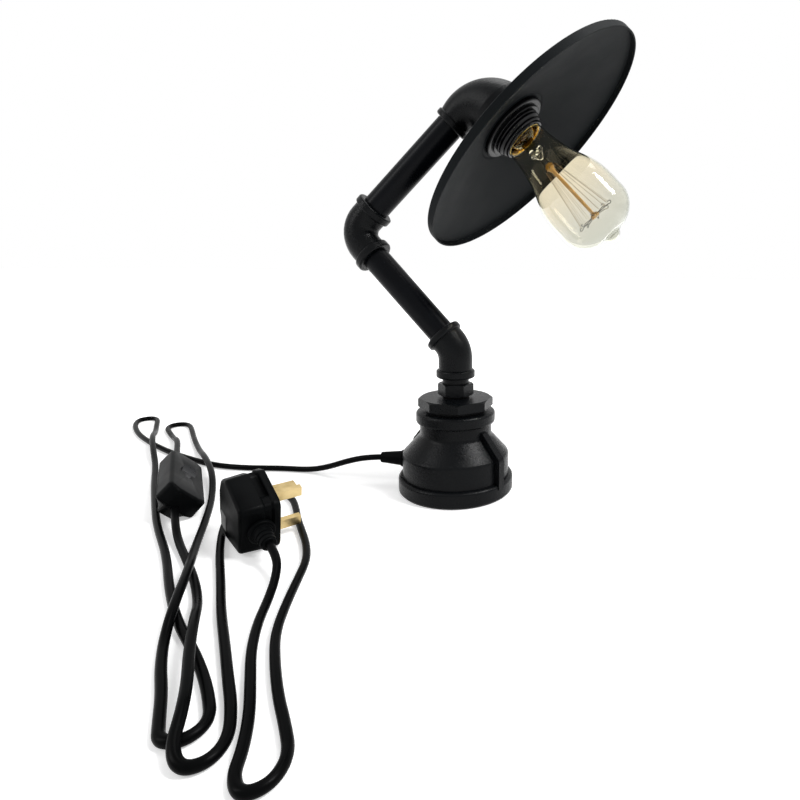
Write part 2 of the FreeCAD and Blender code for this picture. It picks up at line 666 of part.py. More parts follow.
def shade_ring():
    """The threaded ring that clamps the shade, with a thin collar in front."""
    back = S["large_reach"] + S["sheet"]
    front = back + S["ring_width"]
    return turned("shade_ring", [
        (S["skirt_r"] + 0.05, back), (S["ring_r"] - 0.8, back), (S["ring_r"], back + 0.8, 0.8),
        (S["ring_r"], front - 1.4), (S["ring_r"] - 1.4, front, 1.4), (S["ring_collar_r"], front),
        (S["ring_collar_r"], front + S["ring_collar"] - 0.5),
        (S["ring_collar_r"] - 0.5, front + S["ring_collar"], 0.5),
        (S["skirt_r"] + 0.05, front + S["ring_collar"])])


def build_holder():
    """The lampholder: skirt, rear cap, core, brass screw shell, contact spring and terminals."""
    skirt = turned("holder_skirt", [
        (S["skirt_bore_r"], S["holder_seat"]), (S["skirt_r"], S["holder_seat"]),
        (S["skirt_r"], S["skirt_end"]), (S["ridge_r"] + 0.4, S["skirt_end"] + 0.6),
        (S["ridge_r"], S["ridge_end"]), (S["mouth_r"] + 0.2, S["ridge_end"] + 0.5),
        (S["mouth_r"], S["mouth_end"] - 0.8), (S["mouth_r"] - 0.8, S["mouth_end"], 0.8),
        (S["skirt_bore_r"], S["mouth_end"])])
    back = 3.0
    entry_r = 3.4
    rear = turned("holder_cap", [
        (entry_r, back), (8.0, back), (S["cap_r"], 10.0, 12.0), (S["cap_r"], S["holder_seat"]),
        (S["core_r"] + 0.05, S["holder_seat"]), (S["core_r"] + 0.05, S["core_start"]),
        (S["core_r"] - 1.2, S["core_start"]), (6.9, back + 2.0, -12.0), (entry_r, back + 2.0)])
    core = turned("holder_core", [
        (0, S["core_start"]), (S["core_r"], S["core_start"]), (S["core_r"], S["core_end"]),
        (0, S["core_end"])])
    shell = turned("screw_shell", [
        (S["shell_r"], S["core_end"]), (S["shell_r"] + S["shell_wall"], S["core_end"]),
        (S["shell_r"] + S["shell_wall"], S["shell_end"]), (S["shell_r"], S["shell_end"])])
    spring = turned("contact_spring", [
        (0, S["core_end"]), (5.5, S["core_end"]), (5.5, S["core_end"] + 0.5), (3.0, S["contact_end"] - 0.1),
        (0, S["contact_end"] - 0.1)])
    screws = []
    for side in (-1, 1):
        place = FreeCAD.Placement(V(side * 8.5, 0, S["core_start"].number - 2.2), FreeCAD.Rotation())
        screws.append(rod("terminal_screw%d" % (side + 2), 1.9, 2.2, place))
    pieces = {"holder_skirt": skirt, "holder_cap": rear, "holder_core": core, "screw_shell": shell,
              "contact_spring": spring, "holder_terminals": group("holder_terminals", screws)}
    for name, piece in pieces.items():
        node(piece, name, HEAD_FRAME)


def glass_outline():
    """The bulb's glass, from its neck in the cap over the shoulder to the pinched tip."""
    wall = S["glass_wall"]
    tip = S["bulb_tip"]
    neck = S["glass_neck_r"]
    flare = (S["flare_r"], S["flare_top"])
    waist = (S["waist_r"], S["waist_height"])
    flank = (S["flank_r"], S["flank_height"])
    widest = S["bulb_r"]
    dome = (S["dome_r"], S["dome_height"])
    crown = (S["crown_r"], S["crown_height"])
    flare_bend = 6.0
    waist_bend = 160.0
    flank_bend = 90.0
    shoulder_bend = 62.0
    dome_bend = 20.0
    crown_bend = 24.0
    outer = [
        (neck, S["glass_low"]), (neck, S["neck_top"]), (*flare, -flare_bend), (*waist, -waist_bend),
        (*flank, -flank_bend), (widest, S["belly_low"], shoulder_bend), (widest, S["belly_high"]),
        (*dome, dome_bend), (*crown, crown_bend), (6.2, crown[1] + wall), (5.2, tip - 1.6),
        (3.0, tip, 2.4), (0, tip)]
    inner = [
        (0, tip - 4.3), (crown[0] - wall, crown[1] - 0.9), (dome[0] - wall, dome[1] - 0.7, wall - crown_bend),
        (widest - wall, S["belly_high"], wall - dome_bend), (widest - wall, S["belly_low"]),
        (flank[0] - wall, flank[1], wall - shoulder_bend), (waist[0] - wall, waist[1], flank_bend + wall),
        (flare[0] - wall, flare[1], waist_bend + wall), (neck - wall, S["neck_top"], flare_bend + wall),
        (neck - wall, S["glass_low"])]
    return outer + inner


def build_bulb():
    """A pear-shaped filament bulb with its screw cap, glass stem and squirrel-cage filament."""
    glass = turned("bulb_glass", glass_outline())
    cap_r = S["cap_thread_r"]
    cap_bore_r = S["glass_neck_r"] + 0.1
    cap_low = S["cap_start"]
    seat = cap_low + 0.6
    cap = turned("bulb_cap", [
        (cap_r - 2.4, cap_low), (cap_r, cap_low + 1.6), (cap_r, S["cap_end"]), (cap_bore_r, S["cap_end"]),
        (cap_bore_r, cap_low + 2.2), (cap_r - 2.9, seat)])
    contact_r = 4.2
    insulator = turned("bulb_insulator", [
        (0, S["contact_top"]), (contact_r + 0.6, S["contact_top"]), (S["insulator_r"], cap_low),
        (S["insulator_r"], seat), (0, seat)])
    contact = turned("bulb_contact", [
        (0, S["contact_end"]), (contact_r, S["contact_end"]), (contact_r, S["contact_top"]),
        (0, S["contact_top"])])
    foot = S["stem_foot"]
    stem = turned("stem_blank", [
        (0, foot), (S["stem_foot_r"], foot), (S["stem_foot_r"], foot + 1.0), (8.0, foot + 5.5),
        (4.2, foot + 11.5), (3.4, S["hub_near"] - 8), (2.6, S["hub_near"]),
        (S["stem_r"], S["hub_near"] + 2), (S["stem_r"], S["hub_far"] - 2), (2.4, S["hub_far"]),
        (0, S["hub_far"] + 1.6)])
    filament = []
    hooks = []
    for count in range(STRANDS):
        way = turned_about(V(1, 0, 0), UP, 360.0 * count / STRANDS)
        low = way * S["cage_near_r"].number + UP * (S["hub_near"].number + 1)
        high = way * S["cage_far_r"].number + UP * (S["hub_far"].number - 6)
        filament.append(rod("strand%d" % count, S["strand_r"], (high - low).Length, frame(low, high - low)))
        for end, level, rise in (("near", S["hub_near"], 0.6), ("far", S["hub_far"] - 1.0, -4.6)):
            root = way * 1.2 + UP * level.number
            tip = way * S["cage_%s_r" % end].number + UP * (level.number + rise)
            hooks.append(rod("hook_%s%d" % (end, count), S["hook_r"], (tip - root).Length,
                             frame(root, tip - root)))
    seated = cut("bulb_stem", stem, fused("hook_seats", hooks))
    pieces = {"bulb_glass": glass, "bulb_cap": cap, "bulb_insulator": insulator, "bulb_contact": contact,
              "bulb_stem": seated, "bulb_filament": group("bulb_filament", filament),
              "bulb_supports": group("bulb_supports", hooks)}
    for name, piece in pieces.items():
        node(piece, name, HEAD_FRAME)


# Switch -------------------------------------------------------------------------------------------

def boat(length, width):
    """The plan of the switch: a long body whose ends draw in to the flex."""
    nose = width * 0.28
    bevel = S["nose_bevel"]
    return [(length / 2, nose * -1), (length / 2, nose), (length / 2 - bevel, width / 2),
            (bevel - length / 2, width / 2), (length / -2, nose), (length / -2, nose * -1),
            (bevel - length / 2, width / -2), (length / 2 - bevel, width / -2)]


def stadium(length, width):
    """A long outline with round ends."""
    end = width / 2
    straight = (length - width) / 2
    tip = length / 2
    return [(straight, end * -1), (tip, 0, end), (straight, end, end), (straight * -1, end),
            (tip * -1, 0, end), (straight * -1, end * -1, end)]


def centred(name, length, width, height, low):
    """A block whose plan is centred on its frame's Z axis."""
    corner = V(-as_size(length).number / 2, -as_size(width).number / 2, as_size(low).number)
    return block(name, length, width, height, FreeCAD.Placement(corner, FreeCAD.Rotation()))


def cross_rod(name, radius, length, height):
    """A rod along the switch's own Y axis, centred, at this height."""
    return rod(name, radius, length, frame(V(0, length.number / 2, as_size(height).number), V(0, -1, 0)))


def switch_frame():
    """The switch lies on one chamfered flank, so its rocker looks up and to the side."""
    turn = math.radians(SWITCH_TURN)
    along = V(math.cos(turn), math.sin(turn), 0)
    across = V(-along.y, along.x, 0)
    face = (UP + across).normalize()
    rest = (S["switch_width"] / 2 + S["flank_step"]).number / math.sqrt(2)
    return frame(SWITCH_SPOT + UP * rest, face, along)


def switch_shells(place):
    """Two hollow shells, split along the switch's own middle plane. The lower one has chamfered flanks."""
    room_length = S["switch_length"] - S["switch_wall"] * 2 - 9.0
    room_width = S["switch_width"] - S["switch_wall"] * 2
    lower = padded("switch_lower_hull", boat(S["switch_length"], S["switch_width"]), S["switch_flank"])
    dressed(lower, "Chamfer", "switch_lower_flank", S["switch_flank"] - S["flank_step"],
            lambda edge: edge.BoundBox.ZMin > S["switch_flank"].number - 0.01)
    lower.Placement = FreeCAD.Placement(ORIGIN, FreeCAD.Rotation(V(1, 0, 0), 180))
    well = centred("switch_lower_well", room_length, room_width - 9.0, S["well_depth"], S["well_depth"] * -1)
    holes = [rod("screw_seat%d" % count, S["shell_screw_r"], 3.0, spot) for count, spot in
             enumerate(screw_spots())]
    node(cut("switch_lower", lower, fused("switch_lower_cuts", [well] + holes)), "switch_lower", place)

    upper = padded("switch_upper_hull", boat(S["switch_length"], S["switch_width"]), S["switch_upper"])
    dressed(upper, "Fillet", "switch_upper_edge", 2.2,
            lambda edge: edge.BoundBox.ZMin > S["switch_upper"].number - 0.01)
    well = centred("switch_upper_well", room_length, room_width, S["switch_upper"] - S["switch_roof"], 0)
    gap = S["rocker_gap"]
    window = padded("rocker_window", stadium(S["rocker_length"] + gap * 2, S["rocker_width"] + gap * 2),
                    S["switch_upper"] + 1.0)
    bearing = cross_rod("axle_bearing", S["axle_r"] + 0.06, S["rocker_width"] + S["axle_reach"] * 2 + 0.4,
                        S["rocker_axis"])
    dish_width = S["rocker_width"] + 4.0
    dish = cross_rod("rocker_dish", 19.0, dish_width, S["switch_upper"] + 17.4)
    cuts = fused("switch_upper_cuts", [well, window, bearing, dish])
    node(cut("switch_upper", upper, cuts), "switch_upper", place)


def switch_rocker(place):
    """A rocker pressed in at one end, on an axle, with a keel that works the contacts."""
    half = S["rocker_length"] / 2
    top = S["switch_upper"]
    low = top - S["rocker_depth"]
    body = doc.addObject("PartDesign::Body", "rocker_cap")
    sketch = add_sketch(body, "rocker_profile", "XZ_Plane")
    draw_outline(sketch, [
        (half * -1 + 3.0, low), (half - 3.0, low), (half, top - 3.4), (half - 0.6, top - 0.8),
        (0, top + 0.2, -60.0), (half * -1 + 1.1, top + S["rocker_rise"], -60.0), (half * -1, top - 3.4)])
    pad = body.newObject("PartDesign::Pad", "rocker_pad")
    pad.Profile = sketch
    pad.SideType = "Symmetric"
    bind(pad, "Length", S["rocker_width"])
    plan = padded("rocker_plan", stadium(S["rocker_length"], S["rocker_width"]), top + S["rocker_rise"] * 2)
    axle = cross_rod("rocker_axle", S["axle_r"], S["rocker_width"] + S["axle_reach"] * 2, S["rocker_axis"])
    keel = centred("rocker_keel", 4.0, 5.0, 6.0, S["rocker_axis"] - 7.0)
    node(fused("switch_rocker", [common("rocker_button", [body, plan]), axle, keel]), "switch_rocker", place)


def switch_contacts(place):
    """The two brass terminals in the lower shell."""
    pieces = []
    for side in (-1, 1):
        spot = V(side * 19.0 - 4.5, -4.0, -S["well_depth"].number)
        pieces.append(block("terminal%d" % (side + 2), 9.0, 8.0, 5.6, frame(spot, UP)))
    node(group("switch_contacts", pieces), "switch_contacts", place)


def screw_spots():
    """Where the two screws go into the lower shell, from below."""
    low = -S["switch_flank"].number
    return [FreeCAD.Placement(V(side * 32.0, 0, low), FreeCAD.Rotation()) for side in (-1, 1)]


def switch_screws(place):
    """Two screws that draw the shells together from below."""
    pieces = [rod("shell_screw%d" % count, S["shell_screw_r"], 2.6, spot)
              for count, spot in enumerate(screw_spots())]
    node(group("switch_screws", pieces), "switch_screws", place)


def build_switch():
    place = switch_frame()
    switch_shells(place)
    switch_rocker(place)
    switch_contacts(place)
    switch_screws(place)


# Plug ---------------------------------------------------------------------------------------------

def plug_side_lean():
    """How far the plug's long side leans from its centre line."""
    run = (S["plug_shoulder"] + S["plug_tail"] - S["plug_corner"]).number
    return math.atan2((S["plug_half_width"] - S["plug_half_tail"]).number, run)


def plug_frame():
    """The plug rests on one long side, its pins level and its tail towards the table."""
    turn = math.radians(PLUG_TURN)
    tail = V(math.cos(turn), math.sin(turn), 0)
    lean = plug_side_lean()
    side = UP * -math.cos(lean) - tail * math.sin(lean)
    head = UP * math.sin(lean) - tail * math.cos(lean)
    pins = side.cross(head)
    run_x = S["plug_half_width"].number
    rest = run_x * math.cos(lean) - S["plug_shoulder"].number * math.sin(lean)
    return FreeCAD.Placement(PLUG_SPOT + UP * rest, FreeCAD.Rotation(side, head, pins, "ZXY"))


def plug_outline(inset):
    """The plug seen from behind: a broad rounded head and sides that draw in to a rounded tail."""
    wide = S["plug_half_width"] - inset
    tail = S["plug_half_tail"] - inset
    head = S["plug_head"] - inset
    end = inset - S["plug_tail"]
    corner = S["plug_corner"]
    return [(corner - tail, end, corner), (tail - corner, end), (tail, end + corner, corner),
            (wide, S["plug_shoulder"]),
            (wide - 7.5, head - 3.0, 15.0), (0, head, 40.0), (7.5 - wide, head - 3.0, 40.0),
            (wide * -1, S["plug_shoulder"], 15.0), (tail * -1, end + corner)]


def plug_hull():
    """The moulded body, which narrows from the pin face to its back."""
    body = doc.addObject("PartDesign::Body", "plug_hull")
    sections = []
    for name, height, inset in (("plug_face", 0, 0), ("plug_back", S["plug_depth"], S["plug_inset"])):
        sketch = add_sketch(body, name, "XY_Plane", shifted(height))
        draw_outline(sketch, plug_outline(as_size(inset)))
        sections.append(sketch)
    loft = body.newObject("PartDesign::AdditiveLoft", "plug_loft")
    loft.Profile = sections[0]
    loft.Sections = [sections[1]]
    loft.Ruled = True
    return body


def plug_pins():
    """Each pin's name, width, height, length and centre on the plug's face."""
    line = -S["earth_gap"].number / 2 + 2.0
    flat = (S["pin_width"], S["pin_height"], S["pin_length"])
    tall = (S["earth_width"], S["earth_height"], S["earth_length"])
    gap = S["pin_gap"].number
    return [("earth_pin", *tall, 0, line + S["earth_gap"].number), ("line_pin", *flat, -gap, line),
            ("neutral_pin", *flat, gap, line)]


def fuse_place(inset, depth=0.0):
    """A corner below the plug's face, set in from the corner of the fuse pocket."""
    return V(-6.0 + inset, -20.0 + inset, -depth)


def build_plug():
    """A moulded three-pin plug with its fuse carrier."""
    place = plug_frame()
    root = S["pin_root"]
    sunk = V(0, 0, -root.number)
    hull = plug_hull()
    hull.Placement = FreeCAD.Placement(ORIGIN, FreeCAD.Rotation(V(0, 1, 0), 180))
    pocket_width = 12.0
    pocket_length = 26.6
    pocket_depth = 9.6
    seats = [block("fuse_pocket", pocket_width, pocket_length, pocket_depth,
                   frame(fuse_place(0, pocket_depth), UP))]
    for name, width, height, length, across, along in plug_pins():
        corner = V(across - width.number / 2, along - height.number / 2, 0) + sunk
        seats.append(block(name + "_seat", width, height, root, frame(corner, UP)))
        pin = block(name, width, height, length + root, frame(corner, UP))
        node(pin, name, place.multiply(pin.Placement))
    node(cut("plug_body", hull, fused("plug_seats", seats)), "plug_body", place)

    slack = 0.2
    width = pocket_width - slack * 2
    length = pocket_length - slack * 2
    face = 1.6
    rail = 2.6
    depth = pocket_depth - slack * 2
    near = fuse_place(slack, depth)
    carrier = fused("fuse_carrier_hull", [
        block("carrier_face", width, length, face, frame(fuse_place(slack, face), UP)),
        block("carrier_rail_a", rail, length, depth - face, frame(near, UP)),
        block("carrier_rail_b", rail, length, depth - face, frame(near + V(width - rail, 0, 0), UP))])
    node(carrier, "fuse_carrier", place)
    fuse_r = 3.17
    fuse_length = 25.4
    fuse_start = V(0, fuse_place(slack * 3).y, -5.2)
    fuse = rod("fuse", fuse_r, fuse_length, frame(fuse_start, V(0, 1, 0)))
    node(fuse, "fuse", place.multiply(fuse.Placement))
    collar_r = 8.0
    tail_r = 5.4
    tip_r = 4.2
    relief = turned("plug_relief", [
        (0, 0), (collar_r, 0), (collar_r, 2.6), (tail_r, 3.4), (tip_r, S["relief_length"]),
        (0, S["relief_length"])])
    node(relief, "plug_relief", place.multiply(relief_place(0)))


def relief_place(shift):
    """The tail's strain relief, in the plug's own frame, shifted outwards along its axis."""
    middle = -S["plug_depth"].number * 0.5
    return frame(V(0, -S["plug_tail"].number - shift, middle), V(0, -1, 0))


# Free cord ----------------------------------------------------------------------------------------

# The flex from the base's gland to the switch. A point with no height lies on the table.
TO_SWITCH = [
    (-74, -15.7, 21.2), (-92, -17.5, 16), (-111, -15.5, 8), (-131, -15), (-157, -20), (-186, -30),
    (-216, -34), (-250, -29), (-288, -20), (-325, -7), (-357, 7), (-382, 22), (-400, 36), (-409, 48),
    (-404, 58), (-392, 56), (-374, 40), (-350, 19), (-326, -3, 12), (-296, -27, 12), (-262, -52),
    (-229, -80), (-195, -107), (-160, -134), (-120, -160), (-87, -186), (-58, -206), (-35, -218),
    (-18, -228), (-5, -237), (7, -247), (6, -257), (-3, -261), (-11, -254), (-23, -243), (-37, -232),
    (-51, -219), (-62, -204, 12), (-84, -176, 12), (-112, -147), (-136, -117), (-163, -86),
    (-191, -59, 12), (-227, -33, 12), (-262, -8), (-296, 17), (-321, 37), (-338, 50), (-350, 53),
    (-357, 45), (-352, 34), (-337, 24), (-314, 10), (-290, -6, 12), (-256, -36, 12)]

# The flex from the switch to the plug.
TO_PLUG = [
    (-142, -135, 8.5), (-127, -146), (-103, -161), (-80, -176), (-61, -191), (-44, -208, 12),
    (-28, -225, 12), (-12, -240, 12), (-1, -252, 12), (6, -263, 5), (14.5, -267), (21.5, -261),
    (20, -251), (9, -239), (-5, -227), (-22, -212), (-44, -193), (-68, -170), (-93, -147), (-116, -122),
    (-132, -98), (-138, -79), (-132, -66), (-119, -62), (-104, -69), (-91, -81), (-78, -95), (-64, -108),
    (-49, -122), (-36, -138), (-27, -157), (-17, -178), (-6, -198), (8, -214), (23, -229), (36, -240),
    (46.5, -250), (48.5, -261), (42, -268), (34, -263.5), (28.5, -253), (19, -240), (6, -226), (-8, -211),
    (-20, -194), (-29, -177), (-36, -163, 6), (-44, -152.4, 10.6)]


def route(start, middle, end):
    """The cord's points: its two fixed ends and what lies between them on the table."""
    points = [V(*point) if len(point) == 3 else V(*point, S["flex_r"].number) for point in middle]
    return [start] + points + [end]


def free_cord():
    half = S["switch_length"].number / 2
    switch_ends = [switch_frame().multVec(V(side * half, 0, 0)) for side in (-1, 1)]
    gland_tip = gland_place(S["gland_reach"].number).Base
    plug_tip = plug_frame().multiply(relief_place(S["relief_length"].number)).Base
    tube("cord_to_switch", route(gland_tip, TO_SWITCH, switch_ends[0]), S["flex_r"])
    tube("cord_to_plug", route(switch_ends[1], TO_PLUG, plug_tip), S["flex_r"])


# Write --------------------------------------------------------------------------------------------

def check_and_write():
    """Stops on a failed object, then writes each piece to its own file."""
    doc.recompute()
    for thing in doc.Objects:
        assert not {"Invalid", "Error"} & set(thing.State), thing.Name + " " + thing.getStatusString()
    os.makedirs("parts", exist_ok=True)
    for name, thing in nodes.items():
        assert not thing.Shape.isNull() and thing.Shape.isValid(), name
        print("%-22s %8.2f cm3  %d solids" % (name, thing.Shape.Volume / 1000, len(thing.Shape.Solids)))
        thing.Shape.exportStep("parts/%s.step" % name)


build_base()
build_arms()
inner_flex()
node(shade(), "shade", HEAD_FRAME)
node(shade_ring(), "shade_ring", HEAD_FRAME)
build_holder()
build_bulb()
build_switch()
build_plug()
free_cord()
check_and_write()
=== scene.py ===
import math

import bmesh
import bpy
from mathutils import Matrix, Vector


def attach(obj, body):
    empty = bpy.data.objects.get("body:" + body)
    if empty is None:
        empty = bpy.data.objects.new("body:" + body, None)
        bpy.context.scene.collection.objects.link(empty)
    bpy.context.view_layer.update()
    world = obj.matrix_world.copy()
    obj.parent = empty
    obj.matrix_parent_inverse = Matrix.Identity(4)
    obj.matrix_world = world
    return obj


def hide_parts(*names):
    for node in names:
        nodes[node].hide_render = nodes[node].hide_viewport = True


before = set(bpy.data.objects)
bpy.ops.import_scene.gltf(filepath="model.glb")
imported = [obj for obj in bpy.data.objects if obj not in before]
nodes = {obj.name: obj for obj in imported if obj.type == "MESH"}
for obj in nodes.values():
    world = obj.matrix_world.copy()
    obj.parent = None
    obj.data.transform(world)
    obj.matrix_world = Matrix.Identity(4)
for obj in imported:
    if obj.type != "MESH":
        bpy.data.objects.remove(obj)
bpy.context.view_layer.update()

MM = 0.001


# Places -------------------------------------------------------------------------------------------

def turned_about(vector, axis, degrees):
    """The vector, turned by an angle about an axis."""
    return Matrix.Rotation(math.radians(degrees), 3, axis) @ vector


UP = Vector((0, 0, 1))
LEAN = math.radians(45.0)
MID_TURN = 6.6
HEAD_TURN = 2.0
LOW_CORNER_UP = 114.4
LOWER_ARM = 125.4
UPPER_ARM = 145.9

# The pipes' directions, and the corners where their centre lines meet.
LOWER_AXIS = Vector((-math.sin(LEAN), 0, math.cos(LEAN)))
UPPER_AXIS = turned_about(Vector((math.cos(LEAN), 0, math.sin(LEAN))), LOWER_AXIS, MID_TURN)
HEAD_AXIS = turned_about(-LOWER_AXIS, UPPER_AXIS, HEAD_TURN)
LOW_CORNER = Vector((0, 0, LOW_CORNER_UP * MM))
MID_CORNER = LOW_CORNER + LOWER_AXIS * (LOWER_ARM * MM)
HEAD_CORNER = MID_CORNER + UPPER_AXIS * (UPPER_ARM * MM)


def place(origin, z_axis, x_axis):
    """A matrix whose Z and X point along these directions."""
    y_axis = z_axis.cross(x_axis)
    turn = Matrix((x_axis, y_axis, z_axis)).transposed()
    return Matrix.Translation(origin) @ turn.to_4x4()


HEAD_PLACE = place(HEAD_CORNER, HEAD_AXIS, UPPER_AXIS)

# Camera -------------------------------------------------------------------------------------------

IMAGE_SIDE = 800.0
FOCAL_PX = 539.95
CENTRE_PX = (522.21, 365.96)
SENSOR = 36.0
CAMERA_SPOT = Vector((174.00, -385.59, 177.28))
CAMERA_ANGLES = (-17.14, -10.25, 0.96)


def make_camera():
    """A camera fitted to the lamp's fittings: where it stands, its yaw, pitch and roll."""
    yaw, pitch, roll = (math.radians(angle) for angle in CAMERA_ANGLES)
    forward = Vector((math.sin(yaw) * math.cos(pitch), math.cos(yaw) * math.cos(pitch), math.sin(pitch)))
    level = Vector((math.cos(yaw), -math.sin(yaw), 0))
    upright = level.cross(forward)
    right = level * math.cos(roll) + upright * math.sin(roll)
    top = upright * math.cos(roll) - level * math.sin(roll)
    data = bpy.data.cameras.new("camera")
    data.sensor_width = SENSOR
    data.lens = FOCAL_PX / IMAGE_SIDE * SENSOR
    data.shift_x = 0.5 - CENTRE_PX[0] / IMAGE_SIDE
    data.shift_y = CENTRE_PX[1] / IMAGE_SIDE - 0.5
    data.clip_start = 0.01
    data.clip_end = 20.0
    camera = bpy.data.objects.new("camera", data)
    turn = Matrix((right, top, -forward)).transposed().to_4x4()
    camera.matrix_world = Matrix.Translation(CAMERA_SPOT * MM) @ turn
    bpy.context.collection.objects.link(camera)
    bpy.context.scene.camera = camera


make_camera()

# Materials ----------------------------------------------------------------------------------------

# The sockets of a Mix node that blends colours.
MIX_SHARE, MIX_FIRST, MIX_SECOND = 0, 6, 7
MIX_COLOUR = 2


class Shader:
    """A node material: a Principled surface with helpers that add and join nodes."""

    def __init__(self, name, **sockets):
        self.material = bpy.data.materials.new(name)
        self.material.use_nodes = True
        self.tree = self.material.node_tree
        self.surface = self.tree.nodes["Principled BSDF"]
        for socket, value in sockets.items():
            self.set(socket.replace("_", " "), value)

    def set(self, socket, value):
        self.surface.inputs[socket].default_value = value

    def add(self, kind, **settings):
        node = self.tree.nodes.new(kind)
        for key, value in settings.items():
            setattr(node, key, value)
        return node

    def join(self, source, target):
        self.tree.links.new(source, target)

    def coordinates(self):
        return self.add("ShaderNodeTexCoord").outputs["Object"]

    def noise(self, scale, detail=3.0, roughness=0.55):
        node = self.add("ShaderNodeTexNoise")
        node.inputs["Scale"].default_value = scale
        node.inputs["Detail"].default_value = detail
        node.inputs["Roughness"].default_value = roughness
        self.join(self.coordinates(), node.inputs["Vector"])
        return node.outputs["Fac"]

    def ramp(self, value, stops):
        """A colour that runs through these stops as the value rises."""
        node = self.add("ShaderNodeValToRGB")
        ramp = node.color_ramp
        while len(ramp.elements) < len(stops):
            ramp.elements.new(0.5)
        for element, (spot, colour) in zip(ramp.elements, stops):
            element.position = spot
            element.color = (*colour, 1.0)
        self.join(value, node.inputs["Fac"])
        return node.outputs["Color"]

    def spread(self, value, low, high, start=0.3, end=0.7):
        """A number that runs from low to high as the value goes from start to end."""
        node = self.add("ShaderNodeMapRange")
        for socket, number in (("From Min", start), ("From Max", end), ("To Min", low), ("To Max", high)):
            node.inputs[socket].default_value = number
        self.join(value, node.inputs["Value"])
        return node.outputs["Result"]

    def mixed(self, first, second, share):
        """The second value plus a share of the first."""
        node = self.add("ShaderNodeMath", operation="MULTIPLY_ADD")
        self.join(first, node.inputs[0])
        node.inputs[1].default_value = share
        self.join(second, node.inputs[2])
        return node.outputs[0]

    def bump(self, height, strength, distance):
        node = self.add("ShaderNodeBump")
        node.inputs["Strength"].default_value = strength
        node.inputs["Distance"].default_value = distance
        self.join(height, node.inputs["Height"])
        self.join(node.outputs["Normal"], self.surface.inputs["Normal"])

    def colour(self, output):
        self.join(output, self.surface.inputs["Base Color"])

    def rough(self, output):
        self.join(output, self.surface.inputs["Roughness"])


def iron(name, dark, light, roughness, grain, depth, shine):
    """Black paint over cast or drawn iron: slow mottling, a fine grain and uneven sheen."""
    shader = Shader(name, Metallic=0.0, IOR=1.5, Specular_IOR_Level=shine)
    slow = shader.noise(scale=28.0, detail=4.0)
    fine = shader.noise(scale=grain, detail=4.0, roughness=0.6)
    shader.colour(shader.ramp(shader.mixed(fine, slow, 0.35), [(0.35, dark), (0.95, light)]))
    shader.rough(shader.spread(shader.mixed(fine, slow, 0.5), roughness - 0.06, roughness + 0.10,
                               start=0.4, end=1.0))
    shader.bump(shader.mixed(slow, fine, 0.5), strength=0.6, distance=depth)
    return shader.material


def plastic(name, dark, light, roughness, grain, depth, shine):
    """Moulded plastic with a fine spark-eroded texture."""
    shader = Shader(name, IOR=1.48, Specular_IOR_Level=shine)
    fine = shader.noise(scale=grain, detail=3.0, roughness=0.6)
    slow = shader.noise(scale=40.0, detail=3.0)
    shader.colour(shader.ramp(slow, [(0.35, dark), (0.7, light)]))
    shader.rough(shader.spread(slow, roughness - 0.05, roughness + 0.07))
    shader.bump(fine, strength=0.25, distance=depth)
    return shader.material


def metal(name, dark, light, roughness):
    """Bare metal, a little tarnished in patches."""
    shader = Shader(name, Metallic=1.0)
    slow = shader.noise(scale=120.0, detail=4.0)
    fine = shader.noise(scale=900.0, detail=3.0)
    shader.colour(shader.ramp(slow, [(0.3, dark), (0.7, light)]))
    shader.rough(shader.spread(slow, roughness - 0.06, roughness + 0.1))
    shader.bump(fine, strength=0.12, distance=0.00005)
    return shader.material


def tinted_glass(name, start, end, stops, outline=None):
    """Glass whose tint changes from one height of the head to another, with a darker outline if given: a
    painted dark reflection at the rim, which also stands for the longer path through the wall there.
    """
    shader = Shader(name, Roughness=0.02, IOR=1.24, Transmission_Weight=1.0)
    along = shader.add("ShaderNodeVectorMath", operation="DOT_PRODUCT")
    shader.join(shader.coordinates(), along.inputs[0])
    along.inputs[1].default_value = HEAD_AXIS
    corner = HEAD_CORNER.dot(HEAD_AXIS)
    depth = shader.spread(along.outputs["Value"], 0.0, 1.0, corner + start * MM, corner + end * MM)
    cloud = shader.noise(scale=30.0, detail=3.0)
    tint = shader.ramp(shader.mixed(cloud, depth, 0.12), stops)
    if outline:
        # The darker outline at grazing angles is partly a painted dark reflection and partly the glass's
        # longer path through its wall.
        weight = shader.add("ShaderNodeLayerWeight")
        blend = shader.add("ShaderNodeMix", data_type="RGBA")
        edge = shader.spread(weight.outputs["Facing"], 0.0, 1.0, start=0.60, end=0.90)
        shader.join(edge, blend.inputs[MIX_SHARE])
        shader.join(tint, blend.inputs[MIX_FIRST])
        blend.inputs[MIX_SECOND].default_value = (*outline, 1.0)
        tint = blend.outputs[MIX_COLOUR]
    shader.colour(tint)
    return shader.material


def clear_glass(name, colour):
    """Glass of one tint, faintly clouded."""
    shader = Shader(name, Roughness=0.03, IOR=1.45, Transmission_Weight=1.0)
    paler = tuple(min(1.0, part * 1.15) for part in colour)
    cloud = shader.noise(scale=200.0, detail=2.0)
    shader.colour(shader.ramp(cloud, [(0.2, colour), (0.9, paler)]))
    return shader.material


# Tints by height, from the neck of the bulb or the foot of its mount outwards.
BULB_TINTS = [
    (0.085, (0.84, 0.64, 0.20)), (0.13, (0.95, 0.94, 0.90)), (0.34, (0.91, 0.865, 0.72)),
    (0.54, (0.90, 0.85, 0.73)), (0.81, (0.82, 0.81, 0.745)), (1.0, (0.785, 0.79, 0.725))]
# The bulb's darker edge colour: partly a painted dark reflection, partly the longer path through the wall at
# its rim.
BULB_EDGE_WITH_PAINTED_REFLECTION = (0.50, 0.53, 0.45)
# The amber over the mount's foot and lower flare is a painted reflection of the brass cap behind it.
MOUNT_TINTS_WITH_CAP_REFLECTION = [(0.05, (0.74, 0.58, 0.12)), (0.45, (0.80, 0.66, 0.20)), (0.80, (0.95, 0.94, 0.88))]

